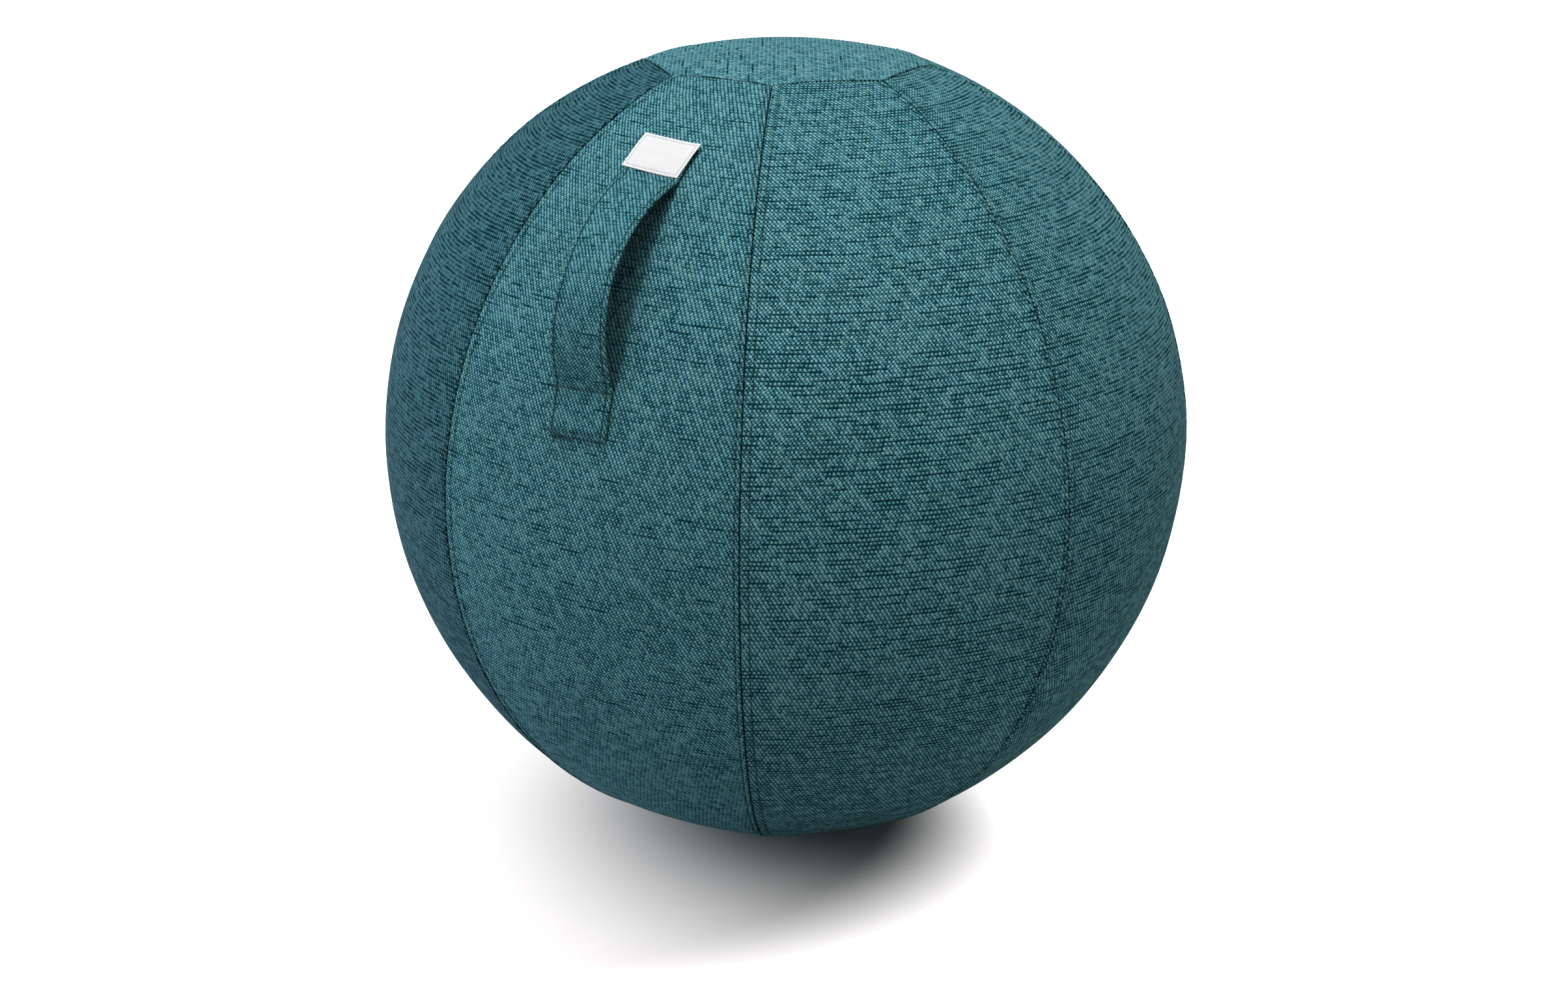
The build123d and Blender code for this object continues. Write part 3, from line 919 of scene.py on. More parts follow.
@dataclass(frozen=True)
class BallForm:
    """The cover's form: gores that curve sideways about axes behind the ball's own."""

    radius: float = 325 * MM
    gores: int = 8
    setback: float = 50 * MM
    lower_fullness: float = 7 * MM
    foot_radius: float = 60 * MM
    crown_drop: float = 4 * MM
    corner_angle: float = math.radians(20.5)

    @property
    def half_turn(self) -> float:
        """Half of a gore's angle about the ball's axis."""
        return math.pi / self.gores

    @property
    def upper_radius(self) -> float:
        """Radius of a gore's middle line above the equator."""
        reach = math.sqrt(
            self.radius**2
            + self.setback**2
            + 2 * self.radius * self.setback * math.cos(self.half_turn)
        )
        return reach - self.setback

    @property
    def lower_radius(self) -> float:
        """Radius of a gore's middle line below the equator."""
        return self.upper_radius + self.lower_fullness

    @property
    def equator(self) -> float:
        """Height of the equator over the floor."""
        return math.sqrt(self.lower_radius**2 - (self.foot_radius + self.lower_fullness) ** 2)

    @property
    def edge_angle(self) -> float:
        """Angle from the axis to the middle of a cap's edge."""
        return math.atan(math.tan(self.corner_angle) * math.cos(self.half_turn))

    def azimuth(self, number: int) -> float:
        """Direction of a gore's middle line, with the first gore facing -Y."""
        return -math.pi / 2 + 2 * self.half_turn * (number - 1)

    def meridian(self, polar: Array, lift: Array | float = 0.0) -> tuple[Array, Array]:
        """Gore's middle line: two arcs, the lower one fuller.

        Args:
            polar: angle below the top.
            lift: distance outside the face.

        Returns:
            Distance from the gore's own axis, and height.
        """
        below = polar > math.pi / 2
        reach = np.where(below, self.lower_radius, self.upper_radius) + lift
        out = self.setback - np.where(below, self.lower_fullness, 0.0) + reach * np.sin(polar)
        return out, self.equator + reach * np.cos(polar)

    def seam_swing(self, polar: Array) -> Array:
        """Angle about the gore's own axis at which a seam's plane meets the gore.

        Args:
            polar: angle below the top.

        Returns:
            The angle from the gore's middle line.
        """
        out, _ = self.meridian(polar)
        half = self.half_turn
        aside, back = self.setback * math.sin(half), self.setback * math.cos(half)
        reach = np.sqrt(out**2 - aside**2) - back
        return np.arctan2(reach * math.sin(half), self.setback + reach * math.cos(half))

    def cap_polar(self, swing: Array, end: CoverEnd) -> Array:
        """Angle below the top at which a cap's plane cuts a gore, found by halving.

        Args:
            swing: angle about the gore's own axis.
            end: which cap.

        Returns:
            The angle below the top.
        """
        top = end is CoverEnd.TOP
        low = np.full_like(swing, math.radians(3 if top else 100))
        high = np.full_like(swing, math.radians(80 if top else 178))
        slope = end.value / math.tan(self.edge_angle)
        for _ in range(40):
            middle = (low + high) / 2
            out, height = self.meridian(middle)
            above = height - self.equator > slope * (out * np.cos(swing) - self.setback)
            low = np.where(above, middle, low)
            high = np.where(above, high, middle)
        return (low + high) / 2

    def place(self, number: int, polar: Array, swing: Array, lift: Array | float) -> Array:
        """Points of a gore: its middle line turned about its own axis, lifted along its normal.

        Args:
            number: which gore.
            polar: angle below the top.
            swing: angle about the gore's own axis.
            lift: distance outside the face.

        Returns:
            The points.
        """
        out, height = self.meridian(polar, lift)
        forward = out * np.cos(swing) - self.setback
        sideways = out * np.sin(swing)
        azimuth = self.azimuth(number)
        east = forward * math.cos(azimuth) - sideways * math.sin(azimuth)
        north = forward * math.sin(azimuth) + sideways * math.cos(azimuth)
        return np.stack(np.broadcast_arrays(east, north, height), axis=-1)

    def outward(self, number: int, polar: Array, swing: Array) -> Array:
        """Outward directions of a gore.

        Args:
            number: which gore.
            polar: angle below the top.
            swing: angle about the gore's own axis.

        Returns:
            The directions.
        """
        turn = self.azimuth(number) + swing
        return np.stack(
            np.broadcast_arrays(
                np.sin(polar) * np.cos(turn), np.sin(polar) * np.sin(turn), np.cos(polar)
            ),
            axis=-1,
        )


@dataclass(frozen=True)
class SeamBuild:
    """How the cover's seams are sewn: a folded ridge, a ditch, and a row of topstitching."""

    ditch_depth: float = 1.4 * MM
    ditch_width: float = 0.5 * MM
    hem_depth: float = 4.0 * MM
    ridge_height: float = 0.75 * MM
    ridge_place: float = 1.85 * MM
    ridge_width: float = 1.15 * MM
    fold_place: float = 3.7 * MM
    fold_depth: float = 0.8 * MM
    fold_width: float = 0.5 * MM
    row_place: float = 6.6 * MM
    row_depth: float = 0.85 * MM
    row_width: float = 0.5 * MM
    band_height: float = 0.3 * MM
    stitch_pitch: float = 4.2 * MM
    stitch_share: float = 0.74
    thread_radius: float = 0.3 * MM
    # The last six numbers paint shade into the cloth: widths of the shaded bells along seams,
    # folds, rows and caps, and how dark they are.
    seam_shade: float = 0.7 * MM
    fold_shade: float = 0.5 * MM
    row_shade: float = 0.45 * MM
    sewn_shade_strength: float = 0.5
    cap_shade: float = 0.8 * MM
    cap_shade_strength: float = 0.8

    def ditch(self, distance: Array) -> Array:
        """Depth by which the cloth turns down into a seam, by the distance from it."""
        return -self.ditch_depth * bump_at(distance, 0.0, self.ditch_width)

    def ridge(self, distance: Array) -> Array:
        """Height of the rolled edge beside a seam, by the distance from it."""
        return self.ridge_height * bump_at(distance, self.ridge_place, self.ridge_width)

    def cap_crease_shade(self, distance: Array) -> Array:
        """Painted shade in the crease round a cap, from 0 to 1, by the distance from it."""
        return self.cap_shade_strength * bump_at(distance, 0.0, self.cap_shade)

    def folded(self, distance: Array) -> Array:
        """Rolled edge with the crease behind it, by the distance from the seam."""
        crease = self.fold_depth * bump_at(distance, self.fold_place, self.fold_width)
        return self.ridge(distance) - crease

    def topstitched(self, distance: Array) -> Array:
        """Band of doubled cloth beside a seam, pulled down along its row of stitches."""
        band = ease(distance, 0.4 * MM, 2 * MM) * (1 - ease(distance, 5 * MM, 9 * MM))
        return self.band_height * band - self.row_depth * bump_at(
            distance, self.row_place, self.row_width
        )


@dataclass
class ZipPath:
    """The arc that the zip follows in the seam between two gores."""

    form: BallForm
    top_polar: float = math.radians(82)
    base_polar: float = math.radians(142)
    opening: float = 12 * MM
    end_blend: float = 3 * MM

    def half_opening(self, polar: Array) -> Array:
        """Half of the slot's width, closing smoothly at the zip's two ends.

        Args:
            polar: angle below the top.

        Returns:
            Distance from the seam to the folded edge.
        """
        blend = self.end_blend / self.form.upper_radius
        start = ease(polar, self.top_polar - blend, self.top_polar + blend)
        stop = 1 - ease(polar, self.base_polar - blend, self.base_polar + blend)
        return self.opening / 2 * start * stop


@dataclass
class Gore:
    """One gore of the cover, with its folded edges and its topstitching."""

    form: BallForm
    seam: SeamBuild
    zip_path: ZipPath
    number: int
    zip_side: ZipSide
    row_step: float = 2.0 * MM
    middle_columns: int = 34
    edge_gap: float = 0.12 * MM
    unevenness: float = 0.3 * MM
    pucker: float = 0.06 * MM
    pucker_reach: float = 9 * MM
    pucker_stitches: int = 4
    fold_pucker: float = 0.7
    cap_ridge: float = 0.6
    row_margin: float = 4 * MM
    end_margin: float = 8 * MM
    cloth_step: float = 0.41
    area_share: float = 0.735
    grain: float = 0.0

    @property
    def length(self) -> float:
        """Arc along the gore's middle line, from the top cap to the base cap."""
        return self.form.upper_radius * (math.pi - 2 * self.form.edge_angle)

    def half_width(self, polar: Array, side: ZipSide) -> Array:
        """Arc from the gore's middle line to one of its edges.

        Args:
            polar: angle below the top.
            side: which edge.

        Returns:
            The distance along the cloth.
        """
        out, _ = self.form.meridian(polar)
        width = out * self.form.seam_swing(polar)
        if side is self.zip_side:
            width = width - self.zip_path.half_opening(polar)
        return width

    def drift(self, polar: Array, across: Array) -> Array:
        """Slight unevenness of the stretched cloth: a few long waves with seeded phases.

        Args:
            polar: angle below the top.
            across: distance from the middle line.

        Returns:
            The lift.
        """
        luck = np.random.default_rng(self.number)
        along = polar * self.form.upper_radius
        total = np.zeros(np.broadcast(polar, across).shape)
        for _ in range(5):
            heading = luck.uniform(0, math.pi)
            wave = luck.uniform(70 * MM, 160 * MM)
            phase = luck.uniform(0, 2 * math.pi)
            way = along * math.cos(heading) + across * math.sin(heading)
            total = total + np.sin(2 * math.pi * way / wave + phase)
        return self.unevenness * total / 3

    def from_edges(self, polar: Array, across: Array, swing: Array) -> tuple[Array, ...]:
        """Distances from the gore's four edges along the cloth.

        Args:
            polar: angle below the top.
            across: distance from the middle line along the cloth.
            swing: angle about the gore's own axis.

        Returns:
            Distances from the left, the right, the top and the base edge.
        """
        form = self.form
        return (
            across + self.half_width(polar, ZipSide.LEFT),
            self.half_width(polar, ZipSide.RIGHT) - across,
            (polar - form.cap_polar(swing, CoverEnd.TOP)) * form.upper_radius,
            (form.cap_polar(swing, CoverEnd.BASE) - polar) * form.upper_radius,
        )

    def crease(self, polar: Array, across: Array, swing: Array) -> Array:
        """Painted shade in the sewn creases, from 0 to 1: a bell across each seam, fold and row.

        Args:
            polar: angle below the top.
            across: distance from the middle line along the cloth.
            swing: angle about the gore's own axis.

        Returns:
            Shade from 0 to 1.
        """
        seam = self.seam
        left, right, from_top, from_base = self.from_edges(polar, across, swing)
        rows = [
            bump_at(left, 0.0, seam.seam_shade),
            bump_at(right, 0.0, seam.seam_shade),
            seam.sewn_shade_strength * bump_at(right, seam.fold_place, seam.fold_shade),
            seam.sewn_shade_strength * bump_at(left, seam.row_place, seam.row_shade),
            seam.cap_crease_shade(from_top),
            seam.cap_crease_shade(from_base),
        ]
        return np.max(rows, axis=0)

    def lift(self, polar: Array, across: Array, swing: Array) -> Array:
        """Height of the cloth over the plain form: ditches, ridge, topstitching and puckers.

        Args:
            polar: angle below the top.
            across: distance from the middle line along the cloth.
            swing: angle about the gore's own axis.

        Returns:
            The lift along the normal.
        """
        seam = self.seam
        left, right, from_top, from_base = self.from_edges(polar, across, swing)
        total = self.drift(polar, across)
        total = total + seam.ditch(left) + seam.topstitched(left)
        total = total + seam.ditch(right) + seam.folded(right)
        if self.zip_side is ZipSide.RIGHT:
            total = total + seam.topstitched(right) * ease(
                self.zip_path.half_opening(polar), 0, self.zip_path.opening / 2
            )
        for distance in (from_top, from_base):
            total = total + seam.ditch(distance) + self.cap_ridge * seam.ridge(distance)
        wave = self.pucker_stitches * seam.stitch_pitch / self.form.upper_radius
        ripple = np.sin(2 * math.pi * polar / wave + self.number)
        near = np.exp(-left / self.pucker_reach)
        near = near + self.fold_pucker * np.exp(-right / self.pucker_reach)
        return total + self.pucker * ripple * near

    def surface(self) -> tuple[Array, Array, Array]:
        """Grid of the gore: rows from the top cap to the base cap, columns from left to right.

        Columns near the edges keep their distance from the edge, so that a fold runs along
        one column. Rows share out the way between the two caps. The outermost rows and
        columns turn in as a hem.

        Returns:
            The points, the cloth coordinates, and the painted shade of the creases.
        """
        form, seam = self.form, self.seam
        fold = np.array(
            [0.12, 0.4, 0.7, 1.0, 1.45, 1.9, 2.4, 2.85, 3.15, 3.4, 3.7, 4.0, 4.25, 4.6, 5.2]
        ) * MM
        stitched = np.array([5.8, 6.1, 6.35, 6.6, 6.85, 7.1, 7.5, 8.2, 9.5, 12.0]) * MM
        left = np.concatenate([fold, stitched])
        right = left if self.zip_side is ZipSide.RIGHT else np.append(fold, [7.0 * MM, 10.0 * MM])
        share = np.linspace(0, 1, self.middle_columns + 2)[1:-1]
        hem = np.full(2, self.edge_gap)
        near_left = np.concatenate([hem, left])
        near_right = np.concatenate([right[::-1], hem])
        length = self.length
        middle_rows = np.arange(self.end_margin, length - self.end_margin, self.row_step)
        ends = np.concatenate([fold, [6.4 * MM]])
        way = np.concatenate([ends, middle_rows, length - ends[::-1]]) / length
        way = np.concatenate([way[:1], way[:1], way, way[-1:], way[-1:]])[:, None]
        polar = form.edge_angle + way * (math.pi - 2 * form.edge_angle)
        polar = np.broadcast_to(polar, (polar.shape[0], len(left) + len(right) + len(share) + 4))
        inner = slice(len(near_left), len(near_left) + len(share))
        for _ in range(6):
            wide_left = self.half_width(polar, ZipSide.LEFT)
            wide_right = self.half_width(polar, ZipSide.RIGHT)
            start = near_left[-1] - wide_left
            stop = wide_right - near_right[0]
            columns = [
                near_left[None, :] - wide_left[:, : inner.start],
                start[:, inner] * (1 - share) + stop[:, inner] * share,
                wide_right[:, inner.stop :] - near_right[None, :],
            ]
            across = np.concatenate(columns, axis=1)
            out, _ = form.meridian(polar)
            swing = across / out
            top = form.cap_polar(swing, CoverEnd.TOP)
            base = form.cap_polar(swing, CoverEnd.BASE)
            polar = top + way * (base - top)
        lift = self.lift(polar, across, swing)
        turn_in = np.zeros_like(lift)
        for line, depth in ((1, seam.hem_depth / 2), (0, seam.hem_depth)):
            turn_in[[line, -1 - line], :] = depth
            turn_in[:, [line, -1 - line]] = depth
        points = form.place(self.number, polar, swing, lift - turn_in)
        down = polar * form.upper_radius
        over, lean = math.cos(self.grain), math.sin(self.grain)
        weft = across * over + down * lean + self.cloth_step * self.number
        cloth = np.stack([weft, down * over - across * lean], axis=-1)
        return points, cloth, self.crease(polar, across, swing)

    def build(self, finish: bpy.types.Material, thread: bpy.types.Material) -> None:
        """Makes the gore and its row of topstitching, and puts them on the ball.

        Args:
            finish: the cover cloth.
            thread: the sewing thread.
        """
        points, cloth, crease = self.surface()
        piece = MeshMaker.grid(f"gore_{self.number}", points, cloth)
        MeshMaker.store_crease_shade(piece, crease)
        put_on_ball(piece, finish, "cover_fabric", f"cover_panel_{self.number}")
        level = np.array([math.pi / 2])
        out, _ = self.form.meridian(level)
        wide = 2 * float((out * self.form.seam_swing(level))[0])
        hem = 2 * self.seam.hem_depth
        wide, long = wide + hem, self.length + hem
        self.topstitch(ZipSide.LEFT, thread)
        if self.zip_side is ZipSide.RIGHT:
            self.topstitch(ZipSide.RIGHT, thread)
        LOG.info("gore %d with %d points", self.number, points.shape[0] * points.shape[1])

    def topstitch(self, side: ZipSide, thread: bpy.types.Material) -> None:
        """Row of stitches beside a seam: short threads that dip into the cloth at their ends.

        Args:
            side: edge that the row follows.
            thread: the sewing thread.
        """
        form, seam = self.form, self.seam
        start = form.edge_angle + self.row_margin / form.upper_radius
        stop = math.pi - start
        if side is ZipSide.RIGHT:
            start, stop = self.zip_path.top_polar, self.zip_path.base_polar
        pitch = seam.stitch_pitch / form.upper_radius
        first = np.arange(start + 2 * pitch, stop - 2 * pitch, pitch)
        polar = first[:, None] + seam.stitch_share * pitch * THREAD_WAY[None, :]
        edge = self.half_width(polar, side) - seam.row_place
        across = -edge if side is ZipSide.LEFT else edge
        out, _ = form.meridian(polar)
        swing = across / out
        dip = np.array([-0.9, 0.35, 0.6, 0.35, -0.9]) * seam.thread_radius
        lift = self.lift(polar, across, swing) + dip
        lines = form.place(self.number, polar, swing, lift)
        normal = form.outward(self.number, polar, swing)
        name = f"topstitch_{self.number}_{side.value}"
        piece = MeshMaker.tubes(name, lines, normal, THREAD_TAPER * seam.thread_radius)
        put_on_ball(piece, thread, "cover_fabric")


@dataclass
class EndCap:
    """Eight-sided cap that closes the gores at the top or the base."""

    form: BallForm
    seam: SeamBuild
    end: CoverEnd
    grain: float
    edge_points: int = 40
    rings: int = 56
    corner_blend: float = 7.0
    rim_margin: float = 7 * MM
    ring_bias: float = 0.9
    ridge_share: float = 0.7
    area_share: float = 0.828

    def rim(self) -> tuple[Array, Array]:
        """Outline of the cap: the gores' cut edges, one after another round the axis.

        Returns:
            The outline's points, and its outward directions.
        """
        form = self.form
        corner = form.corner_angle if self.end is CoverEnd.TOP else math.pi - form.corner_angle
        limit = float(form.seam_swing(np.array([corner]))[0])
        swing = np.linspace(-limit, limit, self.edge_points, endpoint=False)
        polar = form.cap_polar(swing, self.end)
        gores = range(1, form.gores + 1)
        points = np.concatenate([form.place(n, polar, swing, 0.0) for n in gores])
        return points, np.concatenate([form.outward(n, polar, swing) for n in gores])

    def height(self, reach: Array) -> Array:
        """Height of the plain cap at a distance from the axis.

        The top is a flat dome through the crown and the middles of its edges. The base is
        the gores' lower arc, flat where it stands.

        Args:
            reach: distance from the axis.

        Returns:
            The height.
        """
        form = self.form
        if self.end is CoverEnd.TOP:
            crown = form.equator + form.upper_radius - form.crown_drop
            edge = form.upper_radius * math.sin(form.edge_angle)
            fall = crown - form.equator - form.upper_radius * math.cos(form.edge_angle)
            bend = (edge**2 + fall**2) / (2 * fall)
            return crown - bend + np.sqrt(bend**2 - reach**2)
        aside = reach + form.lower_fullness
        return np.maximum(form.equator - np.sqrt(form.lower_radius**2 - aside**2), 0.0)

    def build(self, finish: bpy.types.Material) -> None:
        """Makes the cap and puts it on the ball.

        Every ring is the outline drawn in towards the axis. Its height is the plain cap's,
        raised near the corners by a high power of the share, so that it meets the gores.

        Args:
            finish: the cover cloth.
        """
        form, seam = self.form, self.seam
        rim, outward = self.rim()
        rim_reach = np.linalg.norm(rim[:, :2], axis=-1)
        fold = np.array([0.12, 0.4, 0.7, 1.0, 1.35, 1.7, 2.1, 2.6, 3.2, 4.1, 5.2]) * MM
        inner = np.linspace(0, 1, self.rings + 1)[1:] ** self.ring_bias
        edge = form.upper_radius * math.sin(form.edge_angle)
        inner = (1 - self.rim_margin / edge) * inner[::-1]
        share = np.concatenate([[1.0, 1.0], 1 - fold / edge, inner])
        reach = share[:, None] * rim_reach[None, :]
        flat = share[:, None, None] * rim[None, :, :2]
        miss = rim[:, 2] - self.height(rim_reach)
        height = self.height(reach) + miss[None, :] * share[:, None] ** self.corner_blend
        distance = (1 - share) * edge
        lift = seam.ditch(distance) + self.ridge_share * seam.ridge(distance)
        lift[0] -= seam.hem_depth
        lift[1] -= seam.hem_depth / 2
        if self.end is CoverEnd.BASE:
            lift = np.where(share * edge < form.foot_radius, 0.0, lift)
        points = np.concatenate([flat, height[:, :, None]], axis=-1)
        points = points + lift[:, None, None] * outward[None, :, :]
        over, lean = math.cos(self.grain), math.sin(self.grain)
        turn = np.array([[over, -lean], [lean, over]])
        cloth = points[:, :, :2] @ turn.T
        pole = np.array([0.0, 0.0, float(self.height(np.zeros(1))[0])])
        if self.end is CoverEnd.BASE:
            points, cloth = points[:, ::-1], cloth[:, ::-1]
        name = self.end.name.lower()
        piece = MeshMaker.disc(f"{name}_octagon", points, pole, cloth, np.zeros(2))
        # Painted shade in the crease round the cap, stored for the cloth finish.
        depth = seam.cap_crease_shade(distance)
        MeshMaker.store_crease_shade(piece, np.broadcast_to(depth[:, None], points.shape[:2]))
        put_on_ball(piece, finish, "cover_fabric", f"{name}_cap")
        LOG.info("%s octagon", name)


class StrapHalf(Enum):
    """The strap's two halves, which meet at the bow's peak."""

    UPPER = "upper"
    LOWER = "lower"


@dataclass
class Strap:
    """Carrying strap of doubled cloth, sewn down at both ends and bowed between them."""

    form: BallForm
    seam: SeamBuild
    width: float = 48 * MM
    bow_width: float = 45.5 * MM
    thickness: float = 3.0 * MM
    sewn_gap: float = 0.3 * MM
    upper_polar: float = math.radians(40.4)
    lower_polar: float = math.radians(69.1)
    tab_length: float = 37 * MM
    bow_rise: float = 39 * MM
    bow_peak_place: float = 92 * MM
    twist: float = math.radians(8.0)
    softness: float = 3.5 * MM
    station_step: float = 1.2 * MM
    edge_row: float = 3.6 * MM
    edge_draw: float = 0.9 * MM
    # The next four numbers paint shade along the strap's rows of stitches: widths of the bells and
    # how dark they are.
    row_shade: float = 0.5 * MM
    edge_shade_strength: float = 0.9
    tab_shade: float = 1.3 * MM
    tab_shade_strength: float = 0.75
    fold_row: float = 2.5 * MM
    end_row: float = 3.6 * MM
    end_pinch: float = 1.5 * MM
    cloth_start: tuple[float, float] = (3.0, 0.7)
    blend_share: float = 0.55
    knot_threads: int = 9
    knot_inset: float = 8 * MM
    knot_seed: int = 23

    @cached_property
    def path(self) -> tuple[Array, Array, float]:
        """Middle line of the strap, in the plane of the gore's middle line.

        Two tabs follow the gore. Between them an arc rises to the peak of the bow and a
        tighter one falls from it, both level with the chord at the peak. The line is then
        smoothed along its length, which rounds the bends where the strap leaves the gore.

        Returns:
            Points as outward distance and height, the arc length at each, and the arc length
            at the bow's peak.
        """
        form = self.form
        reach = form.upper_radius + self.sewn_gap + self.thickness / 2
        tab = self.tab_length / form.upper_radius

        def on_gore(polar: Array) -> Array:
            """Points over the gore's middle line."""
            return np.stack([reach * np.sin(polar), form.equator + reach * np.cos(polar)], axis=-1)

        upper = on_gore(np.array([self.upper_polar]))[0]
        lower = on_gore(np.array([self.lower_polar]))[0]
        chord = lower - upper
        span = float(np.linalg.norm(chord))
        way = chord / span
        out = np.array([-way[1], way[0]])
        peak = upper + way * self.bow_peak_place + out * self.bow_rise

        def arc(run: float, sense: float) -> Array:
            """Arc from the bow's peak to an end of its chord.

            Args:
                run: distance from the peak to that end, along the chord.
                sense: minus one up the strap, one down it.

            Returns:
                The arc's points.
            """
            bend = (run**2 + self.bow_rise**2) / (2 * self.bow_rise)
            sweep = math.atan2(run, bend - self.bow_rise)
            angle = np.linspace(0, sweep, 120)[:, None]
            middle = peak - out * bend
            return middle + bend * (sense * way * np.sin(angle) + out * np.cos(angle))

        rough = np.concatenate(
            [
                on_gore(np.linspace(self.upper_polar - tab, self.upper_polar, 40)),
                arc(self.bow_peak_place, -1.0)[::-1][1:],
                arc(span - self.bow_peak_place, 1.0)[1:],
                on_gore(np.linspace(self.lower_polar, self.lower_polar + tab, 40))[1:],
            ]
        )
        run = np.concatenate([[0], np.cumsum(np.linalg.norm(np.diff(rough, axis=0), axis=-1))])
        count = int(run[-1] / self.station_step) + 1
        even = np.linspace(0, run[-1], count)
        line = np.stack([np.interp(even, run, rough[:, axis]) for axis in range(2)], axis=-1)
        spread = self.softness / (even[1] - even[0])
        reach_cells = int(4 * spread)
        kernel = np.exp(-0.5 * (np.arange(-reach_cells, reach_cells + 1) / spread) ** 2)
        kernel /= kernel.sum()
        padded = np.concatenate(
            [
                2 * line[:1] - line[reach_cells:0:-1],
                line,
                2 * line[-1:] - line[-2 : -reach_cells - 2 : -1],
            ]
        )
        smooth = np.stack(
            [np.convolve(padded[:, axis], kernel, mode="valid") for axis in range(2)], axis=-1
        )
        at_peak = float(even[np.argmin(np.linalg.norm(line - peak, axis=-1))])
        return smooth, even, at_peak

    def swell(self, run: Array) -> Array:
        """Share of the bow's narrowing and twist: a squared sine between the two tabs."""
        inside = (run - self.tab_length) / (self.path[1][-1] - 2 * self.tab_length)
        return np.sin(math.pi * np.clip(inside, 0, 1)) ** 2

    def width_at(self, run: Array) -> Array:
        """Width of the strap at an arc length from its upper end."""
        return self.width + (self.bow_width - self.width) * self.swell(run)

    def section(self, width: Array) -> tuple[Array, Array, Array]:
        """Outline of the strap's cross-section for each width: a bar with round edges.

        The faces run between the edges' half circles, and are drawn in along the rows of
        stitches beside both edges.

        Args:
            width: width at each station.

        Returns:
            Sideways and outward places, and the painted shade along the rows of stitches, stations
            by points.
        """
        half = self.thickness / 2
        angle = np.linspace(math.pi / 2, -math.pi / 2, 9)[1:-1]
        flat = (width / 2 - half)[:, None]
        near = np.array([0.0, 0.6, 1.1, 1.4, 1.7, 1.95, 2.1, 2.25, 2.5, 2.8, 3.2, 4.0]) * MM
        inner = np.linspace(-1, 1, 19)[1:-1][None, :] * (flat - 5 * MM)
        face = np.concatenate([near[None, :] - flat, inner, flat - near[None, ::-1]], axis=1)
        row = (width / 2 - self.edge_row)[:, None]
        # One bell both draws the face in along each row of stitches and paints shade there.
        depth = bump_at(np.abs(face) - row, 0.0, self.row_shade)
        level = half - self.edge_draw * depth
        right = flat + half * np.cos(angle)[None, :]
        right_level = np.broadcast_to(half * np.sin(angle)[None, :], right.shape)
        sideways = np.concatenate([face, right, face[:, ::-1], -right[:, ::-1]], axis=1)
        rounds = [level, right_level, -level[:, ::-1], right_level[:, ::-1]]
        outward = np.concatenate(rounds, axis=1)
        plain = np.zeros_like(right)
        crease = np.concatenate([depth, plain, depth[:, ::-1], plain], axis=1)
        return sideways, outward, crease

    def surface(self) -> tuple[Array, Array, Array]:
        """The whole strap: its section carried along its path, twisted a little in the bow.

        Returns:
            Points, cloth coordinates, and the painted shade along the rows of stitches.
        """
        line, run, _ = self.path
        along = unit(np.gradient(line, axis=0))
        out = np.stack([-along[:, 1], along[:, 0]], axis=-1)
        sideways, outward, crease = self.section(self.width_at(run))
        end = np.minimum(run, run[-1] - run)
        pinch = np.sqrt(np.clip(1 - (1 - end / self.end_pinch) ** 2, 0.15, 1))
        pinch = np.where(end > self.end_pinch, 1.0, pinch)
        outward = outward * pinch[:, None]
        turn = (self.twist * self.swell(run))[:, None]
        aside = sideways * np.cos(turn) - outward * np.sin(turn)
        rise = sideways * np.sin(turn) + outward * np.cos(turn)
        reach = line[:, None, 0] + rise * out[:, None, 0]
        height = line[:, None, 1] + rise * out[:, None, 1]
        points = np.stack([aside, -reach, height], axis=-1)
        loop = np.concatenate([points, points[:, :1]], axis=1)
        girth = np.linalg.norm(np.diff(loop, axis=1), axis=-1)
        around = np.concatenate([np.zeros((len(run), 1)), np.cumsum(girth, axis=1)], axis=1)
        weft, warp = self.cloth_start
        cloth = np.stack(np.broadcast_arrays(around + weft, run[:, None] + warp), axis=-1)
        # Painted shade across the lower tab, along its two rows of stitches.
        rows = [bump_at(run, place, self.tab_shade) for place in self.tab_rows(run[-1])]
        across = self.tab_shade_strength * np.max(rows, axis=0)[:, None]
        return points, cloth, np.maximum(self.edge_shade_strength * crease, across)

    def tab_rows(self, length: float) -> list[float]:
        """Arc lengths of the two rows of stitches across the lower tab."""
        return [length - self.tab_length + self.fold_row, length - self.end_row]

    def build(self, finish: bpy.types.Material, thread: bpy.types.Material) -> None:
        """Makes the strap's two halves, which meet at the bow's peak, and its stitching.

        Args:
            finish: the cover cloth.
            thread: the sewing thread.
        """
        points, cloth, crease = self.surface()
        _, run, at_peak = self.path
        split = int(np.searchsorted(run, at_peak))
        halves = {
            StrapHalf.UPPER: (slice(0, split + 1), ("handle_upper_end", "handle_grip")),
            StrapHalf.LOWER: (slice(split, len(run)), ("handle_lower_end",)),
        }
        for half, (part, nodes) in halves.items():
            piece = MeshMaker.grid(
                f"strap_{half.value}", points[part], cloth[part], closed=True, capped=True
            )
            MeshMaker.store_crease_shade(piece, crease[part])
            piece.data.materials.append(finish)
            self.hold(piece)
            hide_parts(*nodes)
        self.stitch_edges(thread)
        self.stitch_tabs(thread)
        self.tie_off(thread)
        LOG.info("strap with %d stations", len(run))

    def hold(self, piece: bpy.types.Object) -> None:
        """Bakes a piece's placement into its points; it is neither blended nor attached to a body.

        Args:
            piece: piece to hold.
        """
        line, run, at_peak = self.path
        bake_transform(piece)

